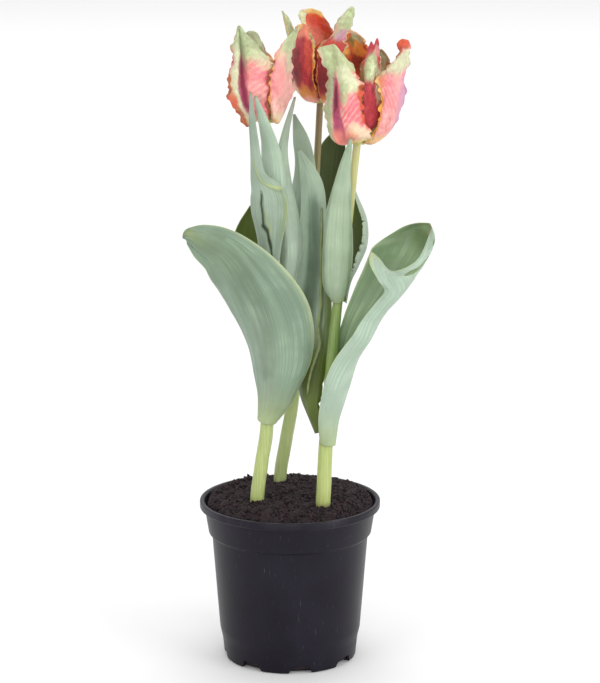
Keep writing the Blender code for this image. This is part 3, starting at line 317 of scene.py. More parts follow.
# Tepals that the front shows, each as a net of points from its foot up and across it from the left.
# A point is where the camera sees it, across and down the frame, and its depth along Y.
SEEN_TEPALS = {
    "left_outer_tepal_1": {
        "ruffle": 1.7,
        "net": (
            ((254.6, 120.5, -22), (255.8, 121, -23.8), (257.2, 121, -25), (258.8, 121, -26),
             (260.8, 121, -26.8), (263.2, 121, -27.3), (266, 120.5, -27.5)),
            ((246, 125, -29), (247, 119, -33), (251, 117, -34), (255, 116, -34), (259, 117, -36),
             (264, 118, -34.5), (267.5, 120, -30)),
            ((238, 113, -30), (240, 107, -36), (244, 105, -36), (248, 104, -34.5), (253, 105, -38.5),
             (263, 107, -37.5), (270, 110, -30.5)),
            ((228, 95, -29), (235, 91, -38), (240, 90, -37.5), (245, 89, -35), (251, 90, -40),
             (263, 92, -39.5), (270, 95, -31)),
            ((230, 78, -31), (235, 73, -38), (239, 73, -37), (244, 73, -34.5), (250, 74, -40),
             (263, 77, -39.5), (271, 79, -31)),
            ((231.5, 60, -32), (236, 55, -37), (239, 55, -36), (242.5, 56, -34), (248, 57, -38.5),
             (260, 59, -38.5), (272, 63, -31.5)),
            ((234, 43, -32), (236.5, 40, -35.5), (238.5, 41, -35), (240.5, 42, -33.5), (244, 43, -36),
             (251, 44, -36.5), (259, 48, -33.5)),
            ((237, 28.5, -31.5), (237.7, 26.5, -32.5), (238.3, 26, -32.5), (239, 25.5, -32.5),
             (240.2, 26, -33), (241.5, 27.5, -33), (242.5, 30, -32.5)),
        ),
    },
    "left_inner_tepal_1": {
        "ruffle": 0.5,
        "net": (
            ((263, 119.5, -25.8), (266, 120, -26.1), (269, 120, -25.8), (271.3, 119.5, -25)),
            ((253, 104, -28), (260, 105, -29.8), (268, 105, -28.8), (275, 104, -27)),
            ((248, 85, -29), (256, 85, -30), (266, 85, -29.5), (276, 85, -25.5)),
            ((247.5, 62, -28.5), (254, 62, -28.5), (263, 63, -28), (274, 66, -25)),
            ((245.5, 45, -27), (250, 44, -27.5), (258, 45, -27), (266, 50, -24.5)),
            ((246, 33, -25.5), (249, 31, -26), (253, 31, -26), (257.5, 33, -25)),
        ),
    },
    "left_outer_tepal_2": {
        "ruffle": 1.5,
        "net": (
            ((273, 121, -25.9), (275, 121, -24.7), (276.6, 121, -23.2), (277.5, 120.5, -21.6),
             (277.8, 120, -19.9)),
            ((271.5, 115, -34.5), (274.5, 121, -34), (279, 122, -29.5), (282.5, 116, -24.5),
             (283, 109, -20)),
            ((269, 99, -36.5), (275, 102, -37), (282, 104, -34), (288, 102, -28), (290, 99, -21.5)),
            ((269, 85, -37.5), (276, 87, -38.5), (284, 89, -35), (291, 88, -28), (294, 87, -21.5)),
            ((271.5, 73, -36.5), (277, 71, -37.5), (284, 72, -34), (289, 72, -28), (291, 72, -22.5)),
            ((276, 57, -34), (280.5, 54, -35), (286, 54, -32), (290, 55, -27), (291.5, 56, -22.5)),
            ((283, 42, -31), (286.5, 40, -31.5), (290, 40, -30), (293, 42, -27), (294.5, 43, -24)),
            ((296, 29.5, -29), (297, 27.7, -29), (298.3, 26.5, -28.5), (299, 27, -28), (299, 28.5, -27.5)),
        ),
    },
    "back_outer_tepal_3": {
        "ruffle": 0.7,
        "net": (
            ((318, 100, 35.4), (314.6, 100, 34.6), (311.7, 100, 33.2), (309.7, 100, 31.3),
             (308.7, 100, 29.3)),
            ((313, 82, 45), (303, 83, 43), (295, 84, 38), (292, 84, 32), (293.5, 84, 27)),
            ((308, 62, 46), (299, 62, 44), (292, 63, 39), (290, 63, 33), (292, 62, 28)),
            ((302, 45, 45), (296, 44, 43), (290.5, 44, 39), (288.5, 44, 34), (290.5, 43, 30)),
            ((295, 30, 43), (291.5, 29, 42), (288.5, 29, 39.5), (287, 30, 37), (289, 29, 34.5)),
            ((289, 19, 41.5), (287.5, 18, 40.8), (285.8, 18, 39.8), (284.5, 19, 38.8), (286, 18, 37.8)),
            ((283, 11.5, 40), (282.5, 11, 40), (282, 10.7, 39.8), (281.8, 11, 39.5), (282.2, 11.5, 39.3)),
        ),
    },
    "back_outer_tepal_1": {
        "ruffle": 1.5,
        "net": (
            ((309, 100, 26), (310, 100.5, 24.2), (312, 101, 22.7), (314.3, 101, 21.5), (317, 101, 20.8)),
            ((299, 92, 19), (303, 98, 15), (309, 100, 13), (315, 100, 12.5), (319, 96, 13.5)),
            ((293, 78, 20), (297, 80, 14), (303, 82, 11), (309, 81, 9.5), (313.5, 79, 9.5)),
            ((290.5, 64, 20), (294.5, 65, 14), (301, 65, 10.5), (308, 64, 8.5), (314.5, 60, 8.5)),
            ((292, 50, 21), (295.5, 50, 15.5), (301, 50, 12), (307, 49, 10.5), (314.5, 49, 10.5)),
            ((295.5, 37, 22), (298, 37, 18), (302, 36.5, 15.5), (305.5, 36, 14.5), (310, 37, 15.5)),
            ((295, 27.5, 24), (298, 25, 21.5), (301.5, 24, 20), (304.5, 24, 19.5), (308, 26, 20)),
        ),
    },
    "back_inner_tepal_2": {
        "inside_out": True,
        "ruffle": 0.8,
        "net": (
            ((314.9, 100, 33), (316, 100, 33.6), (318.5, 100, 34.1), (321.5, 100, 34.1),
             (324.5, 100, 33.3)),
            ((305, 82, 31), (304.5, 82, 33.5), (315, 82, 39), (325, 82, 40), (334, 82, 35)),
            ((307.5, 62, 31), (304, 62, 32.5), (313, 62, 40), (326, 62, 42), (337, 62, 37)),
            ((316, 47, 26), (311, 44, 27), (315, 46, 35), (326, 46, 40), (338, 48, 37)),
            ((311.5, 34, 24.5), (305, 29, 25), (311, 31, 33), (322, 31, 38), (335, 34, 37)),
            ((306, 21, 24), (299, 17, 24.5), (306, 18, 31), (315, 20, 35.5), (330, 26, 35)),
            ((307, 13, 25), (300.5, 10.5, 25.5), (306, 9, 30), (312, 8.5, 32), (321, 11.5, 33)),
        ),
    },
    "back_outer_tepal_2": {
        "ruffle": 0.9,
        "net": (
            ((323, 101, 20.8), (325.7, 101, 21.5), (328.6, 101, 23), (330.5, 100.5, 25),
             (331.4, 100, 27.2)),
            ((321, 98, 14.5), (325, 102, 12.5), (330, 100, 12), (336, 94, 14.5), (339, 88, 19)),
            ((317, 81, 12), (322, 81, 9.5), (330, 79, 9), (338, 76, 12.5), (343, 73, 18)),
            ((317.5, 64, 12), (323, 62, 9.5), (332, 60, 9.5), (341, 58, 13), (348.5, 56, 20)),
            ((319.5, 47, 14.5), (327, 44, 12.5), (335, 43, 12), (343, 43, 15), (349.5, 43, 21)),
            ((330, 36, 18), (335, 33, 16), (340.5, 32, 15.5), (346.5, 32, 18), (350.5, 32, 22)),
            ((337, 22, 21), (341, 19.5, 19.5), (345.5, 18.5, 19), (350.5, 18, 21), (353.5, 18, 24)),
            ((347, 10, 24), (349, 8, 23.5), (351.5, 6.5, 23.3), (353.5, 7.2, 24), (354.5, 9.5, 25)),
        ),
    },
    "right_outer_tepal_1": {
        "ruffle": 1.5,
        "net": (
            ((349, 141, -33.5), (350.5, 142, -34.5), (352, 143, -35.2), (354, 143, -35.6),
             (356, 143, -35.7), (358, 143, -35.6), (360, 142, -35.1)),
            ((329, 128, -35), (332, 138, -40), (338, 143, -43), (345, 141, -44), (351, 137, -48),
             (360, 136, -47.5), (371, 137, -42.5)),
            ((325.5, 117, -37), (329.5, 121, -44), (334, 122, -46), (340, 120, -46), (347, 119, -51),
             (356, 119, -51), (366, 124, -45.5)),
            ((325, 101, -38), (329, 103, -45.5), (333.5, 103, -47), (339, 102, -46), (345, 101, -52),
             (354, 102, -52), (362, 106, -46)),
            ((328, 86, -39), (330.5, 86, -46.5), (334, 86, -47.5), (338.5, 86, -46.5), (344, 86, -51.5),
             (353, 87, -51.5), (363, 92, -46)),
            ((327, 71, -40), (329, 71, -46), (332.5, 71, -46.5), (337, 71, -46), (342, 72, -50.5),
             (351, 74, -51), (360.5, 80, -46.5)),
            ((321, 58, -41), (324, 57, -45), (329, 56, -46), (334.5, 57, -45), (338.5, 58, -48),
             (345, 61, -49), (353.5, 68, -46)),
            ((317, 50, -41), (319.5, 47.5, -43), (324, 46, -44.5), (331, 44.5, -44.5), (333.5, 44, -45.5),
             (336, 46, -45.5), (339, 49.5, -44.5)),
        ),
    },
    "right_outer_tepal_2": {
        "ruffle": 1.3,
        "net": (
            ((363.3, 143, -32.7), (364.9, 143, -31.6), (366, 142.6, -30.2), (366.6, 142.3, -28.5),
             (366.4, 142, -26.9)),
            ((368, 138, -37.5), (373, 143, -38.5), (379, 141, -37), (384.5, 136, -33), (386, 131, -26)),
            ((375, 128, -42.5), (382, 129, -45), (390, 126, -43), (396, 121, -36), (397.5, 117, -27)),
            ((380.5, 111, -45), (387, 111, -47.5), (395, 108, -45), (401, 104, -38), (402.5, 101, -28)),
            ((380, 93, -45), (387, 91, -48), (396, 90, -45.5), (402.5, 88, -38), (404.5, 86, -28)),
            ((379, 78, -44), (386, 74, -47), (396, 73, -45), (403.5, 72, -38), (406, 71, -29)),
            ((390, 65, -43), (395.5, 61, -44.5), (401, 60, -42.5), (406, 59, -37), (408, 58, -31)),
            ((399, 54, -41), (402, 51, -42), (405, 49.5, -41), (408.5, 49, -38), (409.5, 49, -34)),
            ((397, 46, -42), (399.5, 41.5, -43), (403, 39.5, -42.5), (408, 41, -41), (410, 46, -38)),
            ((398, 49, -44.5), (400, 47.5, -46), (403, 47, -46.5), (406, 47.5, -45.5), (407.5, 49, -43)),
        ),
    },
    "right_outer_tepal_3": {
        "inside_out": True,
        "ruffle": 2.4,
        "net": (
            ((350.5, 139.5, -23.7), (352, 139.5, -22.9), (353.7, 139.5, -22.4), (355.7, 139.5, -22),
             (357.5, 139.8, -22)),
            ((340, 115, -14), (349, 115, -8), (360, 115, -5), (370, 115, -5.5), (378, 116, -8)),
            ((339, 90, -13), (348, 90, -7), (360, 90, -4.5), (372, 90, -5), (380, 91, -8)),
            ((342, 68, -15), (349, 68, -9), (359, 68, -6.5), (370, 70, -6.5), (378, 72, -9)),
            ((345.5, 52, -20), (351, 51, -14), (357, 52, -12), (364, 55, -11.5), (371, 59, -12)),
            ((346, 40, -22), (350, 39, -19), (355, 39, -17.5), (361, 41, -16), (367, 45, -15.5)),
            ((347, 32, -24), (350, 30, -23), (353, 31, -22), (357, 33, -21), (362, 37, -19.5)),
        ),
    },
    "right_inner_tepal_1": {
        "ruffle": 0.8,
        "net": (
            ((353.5, 140, -33.6), (355.5, 140.5, -34), (357.5, 140.5, -34.1), (359.5, 140.5, -33.8),
             (361.5, 140, -33.2)),
            ((357, 121, -38), (362, 123, -42), (368, 124, -42), (375, 122, -40), (380, 119, -36.5)),
            ((358, 101, -38), (363, 102, -43), (370, 102, -43), (376, 101, -41), (382, 99, -36.5)),
            ((359, 82, -38), (364, 82, -42.5), (370, 82, -43), (376, 81, -41), (382, 80, -37)),
            ((362, 66, -37), (366, 65, -41), (371, 65, -41.5), (376, 65, -39.5), (381, 66, -36)),
            ((367, 53, -35), (369, 52, -38), (372.5, 51, -38.5), (376, 52, -37), (380, 54, -35)),
            ((370, 44, -33.5), (371.5, 41.5, -35), (374, 45, -35.5), (377, 38, -35), (379, 43, -34)),
        ),
    },
    "right_inner_tepal_2": {
        "inside_out": True,
        "ruffle": 0.6,
        "net": (
            ((359, 139, -22.2), (361, 139, -22.5), (362.5, 139.5, -23.1), (364, 139.5, -24),
             (365, 140, -25)),
            ((364, 119, -16.5), (371, 119, -14), (380, 119, -13), (388, 119, -15), (394, 119, -20)),
            ((366, 92, -16), (373, 92, -13), (381, 92, -12), (390, 92, -14.5), (397, 92, -20)),
            ((368, 70, -17), (374, 69, -15), (381, 69, -14), (389, 70, -16), (395, 72, -21)),
            ((374, 57, -20), (377.5, 55, -19), (382, 55, -18.5), (387, 58, -19.5), (391, 63, -22)),
            ((379, 50.5, -24), (380, 49.5, -23.5), (382, 49.5, -23), (385, 52.5, -23), (387.5, 56, -24)),
        ),
    },
}
# Seen tepals of which one margin lies calm: the left (-1) or the right (1)
CALM_MARGINS = {
    "left_outer_tepal_2": 1,
    "back_outer_tepal_1": -1,
    "back_outer_tepal_3": -1,
    "right_outer_tepal_1": -1,
    "right_outer_tepal_2": 1,
}
PISTIL = (
    (5.2, -1.0),
    (5.2, 3.4),
    (3.4, 5.2),
    (3.2, 9.0),
    (3.6, 16.0),
    (2.6, 20.0),
    (4.4, 22.5),
    (2.0, 23.5),
)
STAMENS = 6
FILAMENT = ((3.0, 3.0, 0.8), (6.0, 8.0, 0.7), (7.0, 11.0, 0.6))
ANTHER = ((7.0, 10.6, 0.7), (7.1, 12.0, 1.4), (7.5, 16.0, 1.5), (7.8, 19.0, 0.6))

# Leaf colours: outer face, inner face, and the share of the leaf that the foot's colour reaches. Each
# leaf's outer tone is made lighter or darker as painted light and shade, to even out how the lamps light
# it, and the dark inner tones are partly the leaves' own deeper green and partly painted shade in their
# hollows
LEAF_FOOT = (0.46, 0.54, 0.27)
INNER_FOOT = (0.30, 0.38, 0.12)
LEAF_TONES = {
    "left_broad_leaf": ((0.250, 0.345, 0.245), (0.10, 0.16, 0.06), 0.14),
    "left_shouldered_leaf": ((0.38, 0.48, 0.38), (0.12, 0.18, 0.06), 0.06),
    "left_middle_leaf": ((0.52, 0.66, 0.52), (0.12, 0.18, 0.06), 0.06),
    "left_folded_leaf": ((0.60, 0.74, 0.60), (0.09, 0.14, 0.05), 0.12),
    "back_side_leaf": ((0.30, 0.40, 0.28), (0.14, 0.20, 0.02), 0.16),
    "back_front_leaf": ((0.42, 0.55, 0.43), (0.08, 0.13, 0.05), 0.12),
    "back_dark_leaf": ((0.26, 0.36, 0.25), (0.05, 0.075, 0.007), 0.10),
    "right_tall_leaf": ((0.50, 0.64, 0.50), (0.09, 0.14, 0.05), 0.20),
    "right_spindle_leaf": ((0.46, 0.58, 0.41), (0.12, 0.18, 0.06), 0.10),
    "right_wrapping_leaf": ((0.50, 0.60, 0.50), (0.13, 0.18, 0.03), 0.10),
    "right_trumpet_leaf": ((0.47, 0.60, 0.48), (0.34, 0.47, 0.28), 0.08),
}
# Washes over a leaf's faces, given as those of the tepals are
LEAF_WASHES = {
    "left_broad_leaf": {
        "outer": (
            (0.52, 0.2, 0.16, 0.4, (0.16, 0.235, 0.155), 0.75),
            (0.60, 0.55, 0.14, 0.16, (0.15, 0.22, 0.13), 0.75),
            (0.44, 0.10, 0.12, 0.10, (0.19, 0.27, 0.19), 0.7),
            (0.36, -0.15, 0.10, 0.10, (0.38, 0.50, 0.38), 0.6),
            (0.50, 0.62, 0.10, 0.09, (0.34, 0.46, 0.34), 0.6),
            (0.76, -0.3, 0.10, 0.4, (0.17, 0.24, 0.15), 0.7),
            (0.22, -0.2, 0.14, 0.5, (0.37, 0.42, 0.35), 0.5),
            (0.66, -0.1, 0.12, 0.5, (0.19, 0.27, 0.17), 0.7),
            (0.42, 0.5, 0.12, 0.3, (0.21, 0.31, 0.23), 0.6),
            (0.84, 0.1, 0.12, 0.5, (0.26, 0.34, 0.17), 0.7),
            (0.90, 0.5, 0.08, 0.6, (0.36, 0.42, 0.20), 0.6),
            (0.30, -0.5, 0.22, 0.3, (0.31, 0.43, 0.33), 0.6),
            (0.24, 0.4, 0.12, 0.5, (0.33, 0.45, 0.33), 0.6),
            (0.55, 0.97, 0.40, 0.07, (0.42, 0.50, 0.32), 0.8),
        ),
        "outer_strokes": (
            (((0.72, 0.25), (0.60, 0.12), (0.48, 0.08), (0.36, 0.06), (0.20, 0.04)), 2.4,
             (0.21, 0.29, 0.19), 0.45),
            (((0.66, 0.55), (0.56, 0.42), (0.44, 0.38), (0.30, 0.36)), 1.6, (0.34, 0.46, 0.33), 0.45),
            (((0.52, -0.30), (0.42, -0.24), (0.30, -0.16), (0.18, -0.10)), 1.4, (0.19, 0.27, 0.18), 0.45),
        ),
    },
    "left_shouldered_leaf": {
        "outer": (
            (0.45, 0.94, 0.14, 0.14, (0.42, 0.48, 0.16), 0.85),
            # Painted shade: these two darker washes shade the blade beside the slit
            (0.52, 0.75, 0.12, 0.30, (0.24, 0.33, 0.20), 0.5),
            (0.30, 0.65, 0.14, 0.30, (0.22, 0.31, 0.20), 0.6),
        ),
        # Painted shade: the first three strokes draw the shadowed slit between the blade's lobes, near
        # black in its middle with darker green beside it, and the fifth lays painted shade along the pale
        # line of the rolled flap
        "outer_strokes": (
            (
                ((0.60, -0.22), (0.50, -0.26), (0.43, -0.18), (0.38, -0.20), (0.33, 0.02),
                 (0.27, 0.28), (0.21, 0.50)),
                1.9, (0.20, 0.28, 0.17), 0.9,
            ),
            (
                ((0.58, -0.24), (0.50, -0.28), (0.43, -0.20), (0.38, -0.22), (0.33, 0.02),
                 (0.27, 0.28), (0.22, 0.48)),
                1.0, (0.025, 0.040, 0.010), 1.0,
            ),
            (((0.37, -0.28), (0.35, -0.02), (0.31, 0.04), (0.28, 0.24)), 1.7, (0.03, 0.045, 0.01), 1.0),
            (((0.44, -0.02), (0.39, 0.02), (0.34, 0.22)), 0.8, (0.42, 0.50, 0.18), 0.8),
            (
                ((0.76, -0.05), (0.69, 0.16), (0.64, 0.30), (0.60, 0.48), (0.58, 0.70), (0.57, 0.90)),
                2.3, (0.20, 0.28, 0.16), 0.6,
            ),
            (
                ((0.77, -0.05), (0.70, 0.16), (0.65, 0.30), (0.61, 0.48), (0.59, 0.70), (0.58, 0.90)),
                1.25, (0.50, 0.56, 0.24), 1.0,
            ),
        ),
    },
    "left_folded_leaf": {
        "outer": (
            # Painted shade: this wash darkens the left, folded part of the blade where it lies in shadow
            (0.45, -0.80, 0.32, 0.25, (0.14, 0.20, 0.12), 0.8),
            (0.30, 0.10, 0.16, 0.16, (0.34, 0.45, 0.34), 0.6),
        ),
    },
    "right_tall_leaf": {
        "outer": (
            # Painted shade: the first three washes darken the middle of the blade where it lies in the
            # crevice between leaves; the next four darken its lower part to a dark olive
            (0.68, 0.10, 0.13, 0.45, (0.15, 0.23, 0.16), 0.85),
            (0.52, 0.05, 0.15, 0.40, (0.13, 0.20, 0.13), 0.85),
            (0.40, -0.10, 0.14, 0.40, (0.12, 0.19, 0.11), 0.85),
            (0.40, 0.95, 0.24, 0.50, (0.13, 0.19, 0.020), 1.0),
            (0.24, 0.80, 0.20, 0.90, (0.105, 0.155, 0.004), 1.0),
            (0.06, 0.2, 0.26, 2.2, (0.090, 0.135, 0.002), 1.0),
            (0.10, -0.75, 0.14, 0.3, (0.20, 0.27, 0.05), 0.8),
        ),
        "outer_strokes": (
            (
                ((0.70, 0.62), (0.58, 0.48), (0.50, 0.44), (0.42, 0.52), (0.36, 0.46), (0.31, 0.60),
                 (0.24, 0.42), (0.17, 0.30)),
                1.9, (0.06, 0.09, 0.02), 0.8,
            ),
            (
                ((0.70, 0.60), (0.58, 0.44), (0.50, 0.40), (0.42, 0.47), (0.36, 0.40), (0.31, 0.55),
                 (0.24, 0.36), (0.17, 0.25)),
                0.8, (0.46, 0.52, 0.20), 1.0,
            ),
        ),
    },
    "right_spindle_leaf": {
        "outer": (
            (0.40, 0.80, 0.34, 0.22, (0.24, 0.34, 0.20), 0.8),
            (0.45, -0.85, 0.30, 0.16, (0.22, 0.31, 0.21), 0.7),
            (0.50, 0.28, 0.26, 0.07, (0.36, 0.47, 0.32), 0.6),
            (0.80, 0.1, 0.16, 0.5, (0.38, 0.49, 0.36), 0.5),
        ),
    },
    "right_wrapping_leaf": {
        # Painted shade over the middle of the inner face, which lies in the leaf's shadowed hollow
        "inner": ((0.45, 0.0, 0.5, 0.8, (0.06, 0.09, 0.01), 0.7),),
    },
    "right_trumpet_leaf": {
        "outer": (
            (0.72, -0.95, 0.18, 0.12, (0.50, 0.58, 0.30), 0.9),
            (0.35, 0.7, 0.3, 0.4, (0.40, 0.53, 0.42), 0.6),
        ),
        "inner": (
            # Painted shade: the first three washes darken the inside of the mouth, deepest in its fold
            (0.76, 0.2, 0.14, 1.0, (0.19, 0.28, 0.12), 0.9),
            (0.86, 0.05, 0.12, 0.10, (0.10, 0.15, 0.05), 0.8),
            (0.93, 0.3, 0.10, 0.8, (0.25, 0.34, 0.17), 0.7),
            (0.72, -0.92, 0.22, 0.14, (0.40, 0.50, 0.24), 0.8),
            (0.96, -0.85, 0.12, 0.40, (0.47, 0.60, 0.48), 1.0),
        ),
    },
}
# Stem colours at the soil, half way up and under the bloom. The back stem's dark brown under its bloom is
# partly its own colour and partly painted shade
STEM_TONES = {
    "left": ((0.46, 0.53, 0.20), (0.42, 0.50, 0.22), (0.36, 0.38, 0.14)),
    "back": ((0.36, 0.42, 0.17), (0.34, 0.42, 0.16), (0.24, 0.17, 0.08)),
    "right": ((0.48, 0.54, 0.19), (0.25, 0.36, 0.11), (0.60, 0.56, 0.26)),
}
# The studio: name, place, aim, size and power of each light
LIGHTS = (
    ("key_light", (-1.1, -1.3, 1.5), (0, 0, 0.22), (1.1, 1.1), 5.0),
    ("fill_light", (1.4, -1.0, 0.9), (0, 0, 0.2), (1.0, 1.2), 9.0),
    ("front_light", (0.2, -2.6, 1.0), (0, 0, 0.22), (1.4, 1.4), 16.0),
    ("top_light", (0.1, 0.5, 1.9), (0, 0, 0.2), (1.2, 1.2), 6.0),
    ("floor_light", (0.0, 3.4, 2.6), (0, 3.4, 0), (6.0, 3.0), 45.0),
)
BACKDROP_STRENGTH = 0.76
FLOOR_HALF = 6.0
FLOOR_HEIGHT = -0.0003
CLIP_START, CLIP_END = 0.05, 30.0

# Petal paints
GREEN = (0.50, 0.60, 0.32)
PALE_GREEN = (0.70, 0.75, 0.48)
GREY_GREEN = (0.38, 0.45, 0.25)
OLIVE = (0.20, 0.22, 0.05)
CREAM = (0.86, 0.70, 0.46)
YELLOW = (0.86, 0.66, 0.22)
AMBER = (0.82, 0.38, 0.06)
RUST = (0.42, 0.085, 0.02)
ORANGE_RED = (0.72, 0.10, 0.035)
SALMON = (0.88, 0.28, 0.17)
PINK = (0.90, 0.20, 0.25)
PALE_PINK = (0.93, 0.44, 0.40)
MAGENTA = (0.42, 0.06, 0.14)
LAVENDER = (0.62, 0.28, 0.44)
CRIMSON = (0.50, 0.035, 0.05)
DARK_RED = (0.19, 0.010, 0.014)
WINE = (0.16, 0.014, 0.040)

